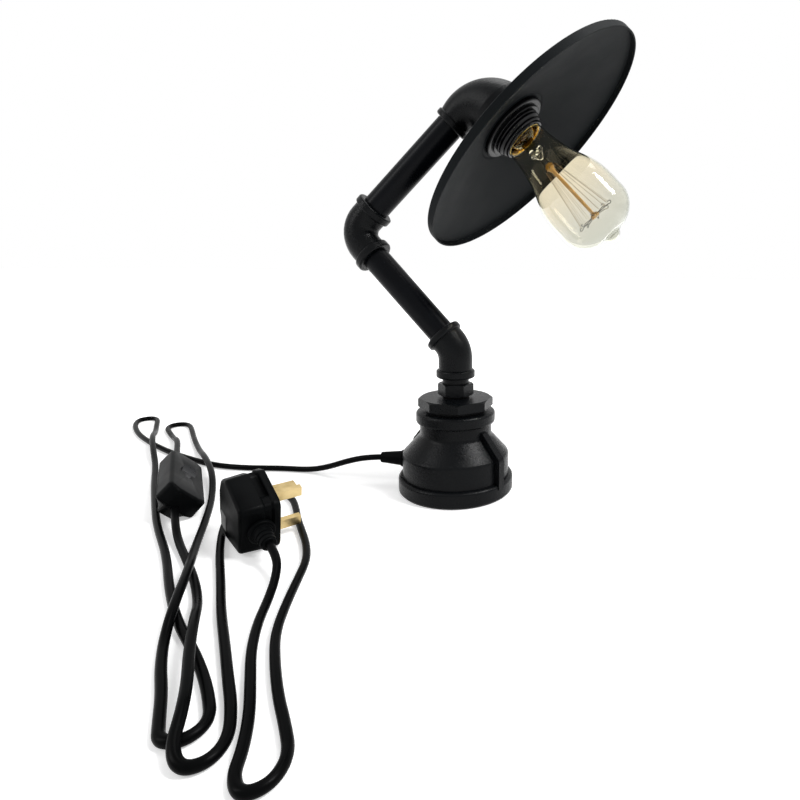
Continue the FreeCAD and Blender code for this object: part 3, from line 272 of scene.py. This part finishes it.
MATERIALS = {
    "cast": iron("cast_black", (0.0008, 0.0010, 0.0014), (0.0030, 0.0036, 0.0042),
                 roughness=0.25, grain=700.0, depth=0.00042, shine=0.085),
    "pipe": iron("pipe_black", (0.0008, 0.0010, 0.0015), (0.0022, 0.0028, 0.0042),
                 roughness=0.27, grain=1500.0, depth=0.00005, shine=0.065),
    "shade": iron("shade_black", (0.0050, 0.0060, 0.0066), (0.0078, 0.0092, 0.0100),
                  roughness=0.50, grain=2600.0, depth=0.00002, shine=0.035),
    "ring": iron("ring_black", (0.0012, 0.0014, 0.0018), (0.0028, 0.0030, 0.0036),
                 roughness=0.24, grain=1800.0, depth=0.00002, shine=0.13),
    "felt": plastic("felt_black", (0.003, 0.003, 0.003), (0.008, 0.008, 0.008),
                    roughness=0.9, grain=1500.0, depth=0.0003, shine=0.1),
    "holder": plastic("holder_black", (0.0008, 0.0009, 0.0014), (0.0020, 0.0022, 0.0034),
                      roughness=0.22, grain=900.0, depth=0.00002, shine=0.14),
    "moulding": plastic("moulded_black", (0.0010, 0.0012, 0.0014), (0.0028, 0.0032, 0.0034),
                        roughness=0.40, grain=1500.0, depth=0.00003, shine=0.025),
    "button": plastic("button_black", (0.0014, 0.0018, 0.0026), (0.0060, 0.0066, 0.0080),
                      roughness=0.24, grain=1500.0, depth=0.00002, shine=0.10),
    "cord": plastic("cord_black", (0.0008, 0.0009, 0.0010), (0.0020, 0.0021, 0.0023),
                    roughness=0.30, grain=700.0, depth=0.00003, shine=0.03),
    "brass": metal("brass", (0.50, 0.37, 0.16), (0.68, 0.53, 0.27), roughness=0.32),
    "lamp_brass": metal("lamp_brass", (0.58, 0.41, 0.09), (0.80, 0.60, 0.18), roughness=0.26),
    "steel": metal("steel", (0.45, 0.44, 0.42), (0.62, 0.61, 0.59), roughness=0.35),
    "wire": metal("filament_wire", (0.03, 0.028, 0.022), (0.09, 0.08, 0.06), roughness=0.4),
    "plate": plastic("plate_grey", (0.10, 0.10, 0.10), (0.15, 0.15, 0.15),
                     roughness=0.45, grain=900.0, depth=0.00002, shine=0.3),
    "insulator": clear_glass("cap_glass", (0.05, 0.05, 0.07)),
    "bulb": tinted_glass("bulb_glass", start=45, end=150, stops=BULB_TINTS, outline=BULB_EDGE_WITH_PAINTED_REFLECTION),
    "stem": clear_glass("stem_glass", (0.80, 0.62, 0.34)),
    "clear": tinted_glass("mount_glass", start=44, end=64, stops=MOUNT_TINTS_WITH_CAP_REFLECTION),
    "beads": clear_glass("bead_glass", (0.90, 0.90, 0.86)),
    "amber": plastic("amber_glass", (0.42, 0.22, 0.05), (0.62, 0.38, 0.12),
                     roughness=0.12, grain=300.0, depth=0.00001, shine=0.5),
    "filament": metal("filament_strand", (0.30, 0.22, 0.13), (0.42, 0.32, 0.20), roughness=0.4),
}

PAINTED = {
    "cast": ["base_reducer", "octagon_bushing", "hex_nipple", "lower_elbow", "mid_elbow", "head_elbow",
             "base_plate"],
    "pipe": ["lower_pipe", "upper_pipe"],
    "shade": ["shade"],
    "ring": ["shade_ring"],
    "felt": ["felt_pad"],
    "holder": ["holder_skirt", "holder_cap", "holder_core"],
    "moulding": ["switch_lower", "switch_upper", "plug_body", "fuse_carrier", "plug_relief", "cord_gland"],
    "button": ["switch_rocker"],
    "cord": ["cord_to_switch", "cord_to_plug", "base_flex", "lower_flex", "upper_flex", "head_flex"],
    "brass": ["contact_spring", "bulb_contact", "switch_contacts", "earth_pin", "line_pin", "neutral_pin",
              "holder_terminals"],
    "lamp_brass": ["screw_shell", "bulb_cap"],
    "steel": ["earth_tag", "earth_screw", "switch_screws", "fuse"],
    "wire": ["bulb_filament", "bulb_supports"],
    "insulator": ["bulb_insulator"],
    "bulb": ["bulb_glass"],
    "stem": ["bulb_stem"],
}


def paint(thing, key):
    """Gives a piece one of the materials in place of its own."""
    thing.data.materials.clear()
    thing.data.materials.append(MATERIALS[key])


for key, names in PAINTED.items():
    for name in names:
        paint(nodes[name], key)

# Turned and wired detail ---------------------------------------------------------------------------

SHARP = math.radians(32.0)
SAME_SPOT = 1e-4
ON_AXIS = 1e-6


def finished(name, mesh, body, key, replaced=()):
    """Turns a bmesh in millimetres into a piece that rides on a body, smooth but for its sharp edges."""
    bmesh.ops.remove_doubles(mesh, verts=mesh.verts, dist=SAME_SPOT)
    bmesh.ops.recalc_face_normals(mesh, faces=mesh.faces)
    for face in mesh.faces:
        face.smooth = True
    for edge in mesh.edges:
        edge.smooth = not (edge.is_manifold and edge.calc_face_angle() > SHARP)
    bmesh.ops.scale(mesh, vec=(MM, MM, MM), verts=mesh.verts)
    data = bpy.data.meshes.new(name)
    mesh.to_mesh(data)
    mesh.free()
    piece = bpy.data.objects.new(name, data)
    bpy.context.collection.objects.link(piece)
    paint(piece, key)
    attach(piece, body)
    if replaced:
        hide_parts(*replaced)
    return piece


def in_millimetres(matrix):
    """The same placement, for a mesh that is still in millimetres."""
    scaled = matrix.copy()
    scaled.translation = matrix.translation / MM
    return scaled


def polar(radius, turn, height):
    """The point at this radius, angle and height."""
    return (radius * math.cos(turn), radius * math.sin(turn), height)


def add_lathe(mesh, matrix, profile, segments=72):
    """Turns a closed outline of (radius, height) about the placement's Z axis."""
    matrix = in_millimetres(matrix)
    turns = [math.tau * step / segments for step in range(segments)]
    rings = []
    for radius, height in profile:
        if radius < ON_AXIS:
            rings.append([mesh.verts.new(matrix @ Vector((0, 0, height)))])
            continue
        rings.append([mesh.verts.new(matrix @ Vector(polar(radius, turn, height))) for turn in turns])
    for low, high in zip(rings, rings[1:] + rings[:1]):
        if len(low) == len(high) == 1:
            continue
        for step in range(segments):
            after = (step + 1) % segments
            corners = [low[step % len(low)], low[after % len(low)],
                       high[after % len(high)], high[step % len(high)]]
            mesh.faces.new(list(dict.fromkeys(corners)))


def lathe(name, profile, body, key, matrix=HEAD_PLACE, replaced=(), segments=72):
    """One turned piece, on the head's axis unless it is placed elsewhere."""
    mesh = bmesh.new()
    add_lathe(mesh, matrix, profile, segments)
    return finished(name, mesh, body, key, replaced)


def wires(name, lines, radius, body, key, replaced=(), order=3):
    """Round wires along their control points, in millimetres in the head's frame."""
    matrix = in_millimetres(HEAD_PLACE)
    data = bpy.data.curves.new(name, "CURVE")
    data.dimensions = "3D"
    data.bevel_depth = radius * MM
    data.bevel_resolution = 2
    data.resolution_u = 4
    data.use_fill_caps = True
    for line in lines:
        spline = data.splines.new("NURBS")
        spline.points.add(len(line) - 1)
        for target, point in zip(spline.points, line):
            target.co = (*(matrix @ Vector(point)) * MM, 1.0)
        spline.order_u = min(order, len(line))
        spline.use_endpoint_u = True
    piece = bpy.data.objects.new(name, data)
    bpy.context.collection.objects.link(piece)
    paint(piece, key)
    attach(piece, body)
    if replaced:
        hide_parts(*replaced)
    return piece


# Lampholder and bulb ------------------------------------------------------------------------------

# Heights run along the head's axis from the head elbow's corner. Each outline is (radius, height).
GLASS_WALL = 0.8
MOUNT_WALL = 0.6
BEADS = 6
BEAD_RADIUS = 1.75
BEAD_REACH = 3.9
BEAD_HEIGHT = 62.2
STRANDS = 16
NEAR_HUB = 77.0
FAR_HUB = 126.0
NEAR_REACH = 5.0
FAR_REACH = 14.0
SUPPORT_RADIUS = 0.26
STRAND_RADIUS = 0.10
THREAD_CRESTS = (38.6, 41.0, 43.4)
SHELL_RINGS = 14
SHELL_PITCH = 2.4
SHELL_START = 14.5
SHELL_CREST = 0.35


def arc(start, end, radius, steps=8):
    """The points after start on the short arc to end. A positive radius turns left."""
    start, end = Vector(start), Vector(end)
    half = (end - start).length / 2
    left = Vector((start.y - end.y, end.x - start.x)).normalized()
    centre = (start + end) / 2 + left * math.copysign(math.sqrt(radius * radius - half * half), radius)
    turn = math.copysign(2 * math.asin(half / abs(radius)), radius)
    return [tuple(centre + Matrix.Rotation(turn * step / steps, 2) @ (start - centre))
            for step in range(1, steps + 1)]


def walled(outer, wall):
    """A closed outline: the outer line, which ends on the axis, and the same line a wall further in."""
    inner = []
    for before, point, after in zip(outer[:1] + outer, outer, outer[1:] + outer[-1:]):
        way = Vector(after) - Vector(before)
        inward = Vector((-way.y, way.x)).normalized() * wall
        inner.append((max(point[0] + inward.x, 0.0), point[1] + inward.y))
    inner[-1] = (0.0, outer[-1][1] - wall)
    return outer + inner[::-1]


def bulb_envelope():
    """The blown glass, of one thickness from the neck to the sealed pip."""
    outer = [(12.5, 34.0), (12.5, 46.5)]
    for end, radius in (((15.2, 50.5), -6.0), ((17.2, 67.0), -160.0), ((23.6, 89.0), -90.0),
                        ((28.4, 113.0), 62.0)):
        outer += arc(outer[-1], end, radius)
    outer.append((28.4, 122.0))
    outer += arc(outer[-1], (23.2, 137.6), 20.5)
    outer += arc(outer[-1], (10.6, 144.8), 24.0)
    outer += arc(outer[-1], (5.6, 146.9), -4.2, 5)
    outer += arc(outer[-1], (0.0, 149.9), 6.2, 7)
    lathe("envelope", walled(outer, GLASS_WALL), "bulb", "bulb", replaced=("bulb_glass",),
          segments=128)


def mount_glass():
    """The flared glass stem that carries the mount."""
    foot = (11.2, 45.0)
    flare = [foot] + arc(foot, (5.2, 52.0), 9.5)
    flare += [(4.3, 57.0), (3.7, 60.5), (4.6, 63.0), (3.6, 65.6), (1.9, 68.0), (0.0, 69.5)]
    lathe("mount_glass", walled(flare, MOUNT_WALL), "bulb", "clear", replaced=("bulb_stem",))


def mount_beads():
    """A ring of glass beads round the stem's tip, each a little off in place and size."""
    beads = bmesh.new()
    for count in range(BEADS):
        turn = math.tau * count / BEADS + 0.3
        reach = BEAD_REACH + 0.5 * math.sin(5.0 * count)
        height = BEAD_HEIGHT + 1.6 * math.sin(2.2 * count)
        centre = in_millimetres(HEAD_PLACE) @ Vector(polar(reach, turn, height))
        bmesh.ops.create_uvsphere(beads, u_segments=20, v_segments=12,
                                  radius=BEAD_RADIUS + 0.35 * math.cos(3.0 * count),
                                  matrix=Matrix.Translation(centre))
    finished("mount_beads", beads, "bulb", "beads")


def mount_rod():
    """A thin amber rod with a hub at each end of the filament."""
    amber = bmesh.new()
    near_hub = [(0, -3.0), (2.0, -2.8), (3.3, -1.0), (3.4, 0.8), (2.2, 2.6), (1.45, 4.4)]
    far_hub = [(1.3, -10.0), (1.2, -2.4), (2.9, -1.5), (3.7, 0.0), (3.0, 1.5), (0, 1.9)]
    profile = [(radius, NEAR_HUB + height) for radius, height in near_hub]
    profile += [(radius, FAR_HUB + height) for radius, height in far_hub]
    add_lathe(amber, HEAD_PLACE, profile, 32)
    finished("mount_rod", amber, "bulb", "amber")


def near_hook(turn, beyond):
    """A support wire from the near hub to a strand's end, and a little past it."""
    return [polar(2.4, turn, NEAR_HUB), polar(4.0, turn, NEAR_HUB + 0.4),
            polar(NEAR_REACH, turn, NEAR_HUB + 1.2), polar(NEAR_REACH + 0.5, beyond, NEAR_HUB + 1.9)]


def far_hook(turn, beyond):
    """A support wire from the far hub that curls round a strand's end."""
    return [polar(2.6, turn, FAR_HUB), polar(8.0, turn, FAR_HUB + 0.5),
            polar(FAR_REACH - 2.0, turn, FAR_HUB + 0.3), polar(FAR_REACH - 0.2, turn, FAR_HUB + 1.6),
            polar(FAR_REACH + 1.3, turn + 0.03, FAR_HUB + 0.6),
            polar(FAR_REACH + 0.6, beyond, FAR_HUB - 1.1), polar(FAR_REACH - 0.9, beyond, FAR_HUB - 0.5)]


def mount_wires():
    """The filament's strands between the hubs, a hook pair for every second one, and two lead wires."""
    supports = []
    strands = []
    for count in range(STRANDS):
        turn = math.tau * (count + 0.25) / STRANDS
        beyond = turn + 0.10
        strands.append([polar(NEAR_REACH, turn, NEAR_HUB + 1.2), polar(FAR_REACH - 0.6, turn, FAR_HUB - 0.6)])
        if count % 2 == 0:
            supports += [near_hook(turn, beyond), far_hook(turn, beyond)]
    for side in (1, -1):
        supports.append([(side * 1.4, 0, 58.0), (side * 1.9, side * 0.3, 66.0),
                         (side * 1.6, side * 0.2, 71.0), (side * 2.6, side * 0.5, NEAR_HUB)])
    wires("support_wires", supports, SUPPORT_RADIUS, "bulb", "wire", replaced=("bulb_supports",))
    wires("filament_strands", strands, STRAND_RADIUS, "bulb", "filament",
          replaced=("bulb_filament",), order=2)


def holder_skirt():
    """The holder's skirt with rings for its moulded thread."""
    profile = [(14.6, 17.0), (19.75, 17.0), (19.75, 37.4)]
    for crest in THREAD_CRESTS:
        profile += [(19.1, crest - 0.9), (19.6, crest - 0.35), (19.6, crest + 0.35), (19.1, crest + 0.9)]
    profile += [(18.2, 44.6), (17.7, 45.2), (18.1, 45.8), (18.1, 46.7), (17.4, 47.3), (16.9, 47.6),
                (16.85, 48.6), (16.4, 49.3), (15.6, 49.5), (14.9, 49.5), (14.6, 49.1)]
    lathe("skirt", profile, "head", "holder", replaced=("holder_skirt",), segments=96)


def rolled_side(radius):
    """One side of the brass shell, with rings for its rolled thread."""
    side = []
    for count in range(SHELL_RINGS):
        height = SHELL_START + SHELL_PITCH * count
        side += [(radius, height), (radius + SHELL_CREST, height + 0.6), (radius + SHELL_CREST, height + 1.2),
                 (radius, height + 1.8)]
    return side


def holder_shell():
    """The brass shell, whose rolled lip shows in the holder's mouth."""
    lip = [(13.95, 48.4), (14.5, 49.3), (14.3, 49.5), (13.6, 48.9)]
    profile = [(13.3, 13.0), (13.9, 13.0)] + rolled_side(13.9) + lip + rolled_side(13.3)[::-1]
    lathe("shell", profile, "head", "lamp_brass", replaced=("screw_shell",), segments=96)


bulb_envelope()
mount_glass()
mount_beads()
mount_rod()
mount_wires()
holder_skirt()
holder_shell()

# Moulded bodies -----------------------------------------------------------------------------------

RAYS = 180
FARTHEST = 80.0
HALVINGS = 26


def mirrored(half):
    """A whole outline from the corners of its right half, which run from front to back."""
    return half + [(-across, along) for across, along in reversed(half)]


class Plan:
    """A convex outline with rounded corners, whose rings are found along rays from its middle."""

    def __init__(self, corners, radius, middle=(0.0, 0.0)):
        self.radius = radius
        self.middle = middle
        corners = [Vector(corner) for corner in corners]
        count = len(corners)
        normals = []
        for index in range(count):
            way = (corners[(index + 1) % count] - corners[index]).normalized()
            normals.append(Vector((way.y, -way.x)))
        core = []
        for index, corner in enumerate(corners):
            both = normals[index - 1] + normals[index]
            core.append(corner - both * (radius / (1 + normals[index - 1].dot(normals[index]))))
        self.sides = [(core[index], core[(index + 1) % count], normals[index]) for index in range(count)]

    def distance(self, point):
        """How far a point lies outside the outline. It is negative inside."""
        inside = max((point - start).dot(normal) for start, _, normal in self.sides)
        if inside < 0:
            return inside - self.radius
        nearest = math.inf
        for start, end, _ in self.sides:
            way = end - start
            share = min(max((point - start).dot(way) / way.length_squared, 0.0), 1.0)
            nearest = min(nearest, (point - start - way * share).length)
        return nearest - self.radius

    def ring(self, height, inset, deeper=None):
        """The outline drawn in by an inset, as points at this height. A hollow may take them deeper."""
        points = []
        for count in range(RAYS):
            turn = math.tau * count / RAYS
            way = Vector((math.cos(turn), math.sin(turn)))
            near, far = 0.0, FARTHEST
            for _ in range(HALVINGS):
                reach = (near + far) / 2
                if self.distance(Vector(self.middle) + way * reach) > -inset:
                    far = reach
                else:
                    near = reach
            point = Vector(self.middle) + way * near
            if deeper is not None:
                point.x -= math.copysign(deeper(point), point.x)
            points.append(Vector((point.x, point.y, height)))
        return points


def rounded(plan, height, inset, radius, rise, steps=5):
    """Rings over a rounded edge that starts at this height and inset and rises, or falls, to a face."""
    rings = []
    for step in range(1, steps + 1):
        turn = math.pi / 2 * step / steps
        rings.append(plan.ring(height + rise * radius * math.sin(turn),
                               inset + radius * (1 - math.cos(turn))))
    return rings


def stacked(name, rings, matrix, body, key, replaced=()):
    """A closed form through rings of equally many points, with a flat face at each end."""
    matrix = in_millimetres(matrix)
    mesh = bmesh.new()
    rows = [[mesh.verts.new(matrix @ point) for point in ring] for ring in rings]
    for low, high in zip(rows, rows[1:]):
        for step in range(RAYS):
            after = (step + 1) % RAYS
            mesh.faces.new((low[step], low[after], high[after], high[step]))
    mesh.faces.new(rows[0])
    mesh.faces.new(rows[-1][::-1])
    return finished(name, mesh, body, key, replaced)


# Switch -------------------------------------------------------------------------------------------

SWITCH_TURN = math.radians(-41.0)
SWITCH_ALONG = Vector((math.cos(SWITCH_TURN), math.sin(SWITCH_TURN), 0))
SWITCH_HEIGHT = 10.324
SWITCH_PLACE = place(Vector((-187, -96, SWITCH_HEIGHT)) * MM,
                     (UP + UP.cross(SWITCH_ALONG)).normalized(), SWITCH_ALONG)
BOAT = mirrored([(38.5, -14.0), (43.0, -7.84), (43.0, 7.84), (38.5, 14.0)])
SLOT_LENGTH = 13.0
SLOT_WIDTH = 0.02


def slot_ring(height, spread):
    """The sharp-cornered slot over the rocker, widened all round by a spread, at this height."""
    across = SLOT_LENGTH / 2 + spread
    along = SLOT_WIDTH / 2 + spread
    return Plan(mirrored([(across, -along), (across, along)]), 0.0).ring(height, 0.0)


def switch_shells():
    """Two moulded shells with rounded edges. The rocker stands through the slot in the upper one."""
    boat = Plan(BOAT, 3.2)
    rings = [boat.ring(0.02, 0.35), boat.ring(0.35, 0.0), boat.ring(10.4, 0.2)]
    rings += rounded(boat, 10.4, 0.2, 2.6, 1)
    rings += [slot_ring(height, spread) for height, spread in (
        (13.0, 2.6), (12.75, 2.0), (12.2, 1.2), (12.0, 0.42), (11.85, 0.42), (11.8, 2.4), (1.0, 2.4))]
    top = stacked("switch_top", rings, SWITCH_PLACE, "base", "moulding", ("switch_upper",))
    rings = [boat.ring(height, inset) for height, inset in (
        (-0.02, 0.35), (-0.35, 0.05), (-0.7, 0.2), (-1.2, 0.62), (-8.7, 8.1), (-9.2, 8.75), (-9.45, 9.6))]
    bottom = stacked("switch_bottom", rings, SWITCH_PLACE, "base", "moulding", ("switch_lower",))
    return [top, bottom]


# Plug ---------------------------------------------------------------------------------------------

PLUG_TURN = math.radians(-30.0)
PLUG_TAIL = Vector((math.cos(PLUG_TURN), math.sin(PLUG_TURN), 0))
PLUG_LEAN = math.atan2(5.5, 25.0)
PLUG_WIDEST = (23.5, 6.0)
PLUG_OUTLINE = mirrored([(16.68, -25.0), PLUG_WIDEST, (18.2, 16.8), (7.5, 21.0)])
PLUG_SIDE = -UP * math.cos(PLUG_LEAN) - PLUG_TAIL * math.sin(PLUG_LEAN)
PLUG_HEAD = UP * math.sin(PLUG_LEAN) - PLUG_TAIL * math.cos(PLUG_LEAN)
PLUG_REST = PLUG_WIDEST[0] * math.cos(PLUG_LEAN) - PLUG_WIDEST[1] * math.sin(PLUG_LEAN)
PLUG_PLACE = place(Vector((-83, -116, PLUG_REST)) * MM, PLUG_SIDE.cross(PLUG_HEAD), PLUG_SIDE)
FUSE_MIDDLE = (0.0, -6.7)
GRIP_DEPTH = 3.0
GRIP_HALF = 15.0
GRIP_MIDDLE = -1.0
GRIP_FROM = 12.0
RIBS = 3
RIB_PITCH = 3.4


def grip(point):
    """The depth of the finger hollow in each long side of the plug."""
    along = abs(point.y - GRIP_MIDDLE) / GRIP_HALF
    if along >= 1 or abs(point.x) < GRIP_FROM:
        return 0.0
    return GRIP_DEPTH * (1 - along ** 4)


def plug_shell():
    """A moulded plug: a flange at the pins, a grip hollow behind it, and a rounded back."""
    plan = Plan(PLUG_OUTLINE, 6.0, FUSE_MIDDLE)
    pocket = Plan(mirrored([(6.0, -20.0), (6.0, 6.6)]), 0.1, FUSE_MIDDLE)
    rings = [pocket.ring(-9.6, 0.0), pocket.ring(0.0, 0.0)]
    rings += [plan.ring(height, inset) for height, inset in (
        (0.0, 1.1), (-0.35, 0.35), (-1.0, 0.0), (-3.9, 0.05), (-4.5, 0.45))]
    rings += [plan.ring(height, inset, grip) for height, inset in (
        (-4.8, 1.1), (-5.3, 1.5), (-9.0, 1.6), (-9.5, 1.3))]
    rings += [plan.ring(height, inset) for height, inset in ((-10.0, 0.75), (-10.6, 0.6), (-21.6, 1.5))]
    rings += rounded(plan, -21.6, 1.5, 2.4, -1)
    return stacked("plug_moulding", rings, PLUG_PLACE, "base", "moulding", ("plug_body",))


def plug_plate():
    """The bare plate on the back, by the rounded head."""
    plate = Plan(mirrored([(5.6, -5.2), (5.6, 5.2)]), 1.0)
    spot = PLUG_PLACE @ Matrix.Translation(Vector((10.0, 9.0, -24.0)) * MM)
    rings = [plate.ring(0.3, 0.0), plate.ring(-0.2, 0.0), plate.ring(-0.3, 0.2)]
    return stacked("bare_plate", rings, spot, "base", "plate")


def plug_tail():
    """The strain relief: a broad collar, then ribs on a taper."""
    profile = [(0.0, 0.0), (8.0, 0.0), (8.0, 1.9), (7.6, 2.3), (6.3, 2.4), (6.2, 3.2), (5.5, 3.5)]
    for rib in range(RIBS):
        start = 4.4 + RIB_PITCH * rib
        radius = 5.4 - 0.3 * rib
        profile += [(radius, start), (radius - 0.1, start + 2.2), (radius - 0.8, start + 2.45),
                    (radius - 0.8, start + 3.1)]
    profile += [(4.5, 14.3), (4.1, 15.0), (0.0, 15.0)]
    spot = PLUG_PLACE @ place(Vector((0, -25.0, -12.0)) * MM, Vector((0, -1, 0)), Vector((1, 0, 0)))
    return lathe("plug_tail", profile, "base", "moulding", spot, ("plug_relief",), 40)


SWITCH_PIECES = switch_shells() + [
    nodes[name] for name in ("switch_rocker", "switch_contacts", "switch_screws")]
PLUG_PIECES = [plug_shell(), plug_plate(), plug_tail()] + [
    nodes[name] for name in ("earth_pin", "line_pin", "neutral_pin", "fuse_carrier", "fuse")]

# Flex ---------------------------------------------------------------------------------------------

FLEX_D = 4.8
FLOOR = FLEX_D / 2
GLAND_TIP = (-60.743, -12.911, 22.0)
SWITCH_FAR = (-219.453, -67.789, SWITCH_HEIGHT)
SWITCH_NEAR = (-154.547, -124.211, SWITCH_HEIGHT)
PLUG_TIP = (-55.168, -145.925, 13.068)

# The routes of part.py, in millimetres. A point with no height lies on the table.
TO_SWITCH = [
    (-74, -15.7, 21.2), (-92, -17.5, 16), (-111, -15.5, 8), (-131, -15), (-157, -20), (-186, -30),
    (-216, -34), (-250, -29), (-288, -20), (-325, -7), (-357, 7), (-382, 22), (-400, 36), (-409, 48),
    (-404, 58), (-392, 56), (-374, 40), (-350, 19), (-326, -3, 12), (-296, -27, 12), (-262, -52),
    (-229, -80), (-195, -107), (-160, -134), (-120, -160), (-87, -186), (-58, -206), (-35, -218),
    (-18, -228), (-5, -237), (7, -247), (6, -257), (-3, -261), (-11, -254), (-23, -243), (-37, -232),
    (-51, -219), (-62, -204, 12), (-84, -176, 12), (-112, -147), (-136, -117), (-163, -86),
    (-191, -59, 12), (-227, -33, 12), (-262, -8), (-296, 17), (-321, 37), (-338, 50), (-350, 53),
    (-357, 45), (-352, 34), (-337, 24), (-314, 10), (-290, -6, 12), (-256, -36, 12)]
TO_PLUG = [
    (-142, -135, 8.5), (-127, -146), (-103, -161), (-80, -176), (-61, -191), (-44, -208, 12),
    (-28, -225, 12), (-12, -240, 12), (-1, -252, 12), (6, -263, 5), (14.5, -267), (21.5, -261),
    (20, -251), (9, -239), (-5, -227), (-22, -212), (-44, -193), (-68, -170), (-93, -147), (-116, -122),
    (-132, -98), (-138, -79), (-132, -66), (-119, -62), (-104, -69), (-91, -81), (-78, -95), (-64, -108),
    (-49, -122), (-36, -138), (-27, -157), (-17, -178), (-6, -198), (8, -214), (23, -229), (36, -240),
    (46.5, -250), (48.5, -261), (42, -268), (34, -263.5), (28.5, -253), (19, -240), (6, -226), (-8, -211),
    (-20, -194), (-29, -177), (-36, -163, 6), (-44, -152.4, 10.6)]
# The height that marks a crossing in these routes, and the height at which the scene draws it.
CROSSING = 12
HUMP = 8.6


def flex(name, start, middle, end):
    """A smooth flex along its control points, drawn lower than they say where it crosses a strand."""
    points = [start]
    for point in middle:
        height = point[2] if len(point) == 3 else FLOOR
        points.append((point[0], point[1], HUMP if height == CROSSING else height))
    points.append(end)
    data = bpy.data.curves.new(name, "CURVE")
    data.dimensions = "3D"
    data.bevel_depth = FLEX_D / 2 * MM
    data.bevel_resolution = 5
    data.resolution_u = 10
    spline = data.splines.new("NURBS")
    spline.points.add(len(points) - 1)
    for target, point in zip(spline.points, points):
        target.co = (*(part * MM for part in point), 1.0)
    spline.order_u = 3
    spline.use_endpoint_u = True
    spline.use_smooth = True
    piece = bpy.data.objects.new(name, data)
    bpy.context.collection.objects.link(piece)
    paint(piece, "cord")
    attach(piece, "base")
    return piece


switch_flex = flex("flex_to_switch", GLAND_TIP, TO_SWITCH, SWITCH_FAR)
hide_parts("cord_to_switch")
plug_flex = flex("flex_to_plug", SWITCH_NEAR, TO_PLUG, PLUG_TIP)
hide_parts("cord_to_plug")

# Floor and light ----------------------------------------------------------------------------------

FLOOR_HALF = 12.0
FLOOR_DROP = 0.0002


def rays_that_see_white(tree):
    """One for rays from the camera, in reflections and through glass, and zero for the rest."""
    path = tree.nodes.new("ShaderNodeLightPath")
    total = path.outputs["Is Camera Ray"]
    for name in ("Is Glossy Ray", "Is Transmission Ray"):
        add = tree.nodes.new("ShaderNodeMath")
        add.operation = "MAXIMUM"
        tree.links.new(total, add.inputs[0])
        tree.links.new(path.outputs[name], add.inputs[1])
        total = add.outputs[0]
    return total


def make_floor():
    """A pale floor that turns white for the camera away from the lamp, and keeps the lamp's shadow."""
    mesh = bpy.data.meshes.new("floor")
    corners = [(-FLOOR_HALF, -FLOOR_HALF, 0), (FLOOR_HALF, -FLOOR_HALF, 0), (FLOOR_HALF, FLOOR_HALF, 0),
               (-FLOOR_HALF, FLOOR_HALF, 0)]
    mesh.from_pydata(corners, [], [(0, 1, 2, 3)])
    floor = bpy.data.objects.new("floor", mesh)
    floor.location.z = -FLOOR_DROP
    bpy.context.collection.objects.link(floor)
    shader = Shader("floor", Roughness=0.9, Specular_IOR_Level=0.1)
    cloud = shader.noise(2.0, 2.0)
    shader.colour(shader.ramp(cloud, [(0.0, (0.80, 0.80, 0.80)), (1.0, (0.82, 0.82, 0.82))]))
    shader.set("Emission Color", (1.0, 1.0, 1.0, 1.0))
    away = shader.add("ShaderNodeVectorMath", operation="LENGTH")
    shader.join(shader.coordinates(), away.inputs[0])
    lift = shader.add("ShaderNodeMath", operation="MULTIPLY")
    shader.join(rays_that_see_white(shader.tree), lift.inputs[0])
    shader.join(shader.spread(away.outputs["Value"], 0.42, 1.0, 0.35, 0.9), lift.inputs[1])
    shader.join(lift.outputs[0], shader.surface.inputs["Emission Strength"])
    mesh.materials.append(shader.material)


def make_world():
    """White to the eye, and dimmer as light on the lamp."""
    world = bpy.data.worlds.new("studio")
    world.use_nodes = True
    bpy.context.scene.world = world
    tree = world.node_tree
    background = tree.nodes["Background"]
    background.inputs["Color"].default_value = (1.0, 1.0, 1.0, 1.0)
    level = tree.nodes.new("ShaderNodeMapRange")
    level.inputs["To Min"].default_value = 0.45
    level.inputs["To Max"].default_value = 1.0
    tree.links.new(rays_that_see_white(tree), level.inputs["Value"])
    tree.links.new(level.outputs["Result"], background.inputs["Strength"])


def soft_light(name, spot, target, size, power):
    """An oval area lamp that faces its target."""
    data = bpy.data.lights.new(name, "AREA")
    data.shape = "ELLIPSE"
    data.size, data.size_y = size
    data.energy = power
    lamp = bpy.data.objects.new(name, data)
    lamp.location = spot
    lamp.rotation_mode = "QUATERNION"
    lamp.rotation_quaternion = (Vector(target) - Vector(spot)).to_track_quat("-Z", "Y")
    bpy.context.collection.objects.link(lamp)


make_floor()
make_world()
soft_light("key", (0.95, 0.05, 1.25), (0, 0, 0.15), (0.36, 0.70), 23.0)
soft_light("fill", (-1.0, -0.9, 1.0), (0, 0, 0.15), (0.25, 1.2), 8.0)
soft_light("top", (0.1, 0.5, 1.6), (0, 0, 0.1), (1.2, 0.7), 7.0)

bpy.context.scene.view_settings.view_transform = "Standard"
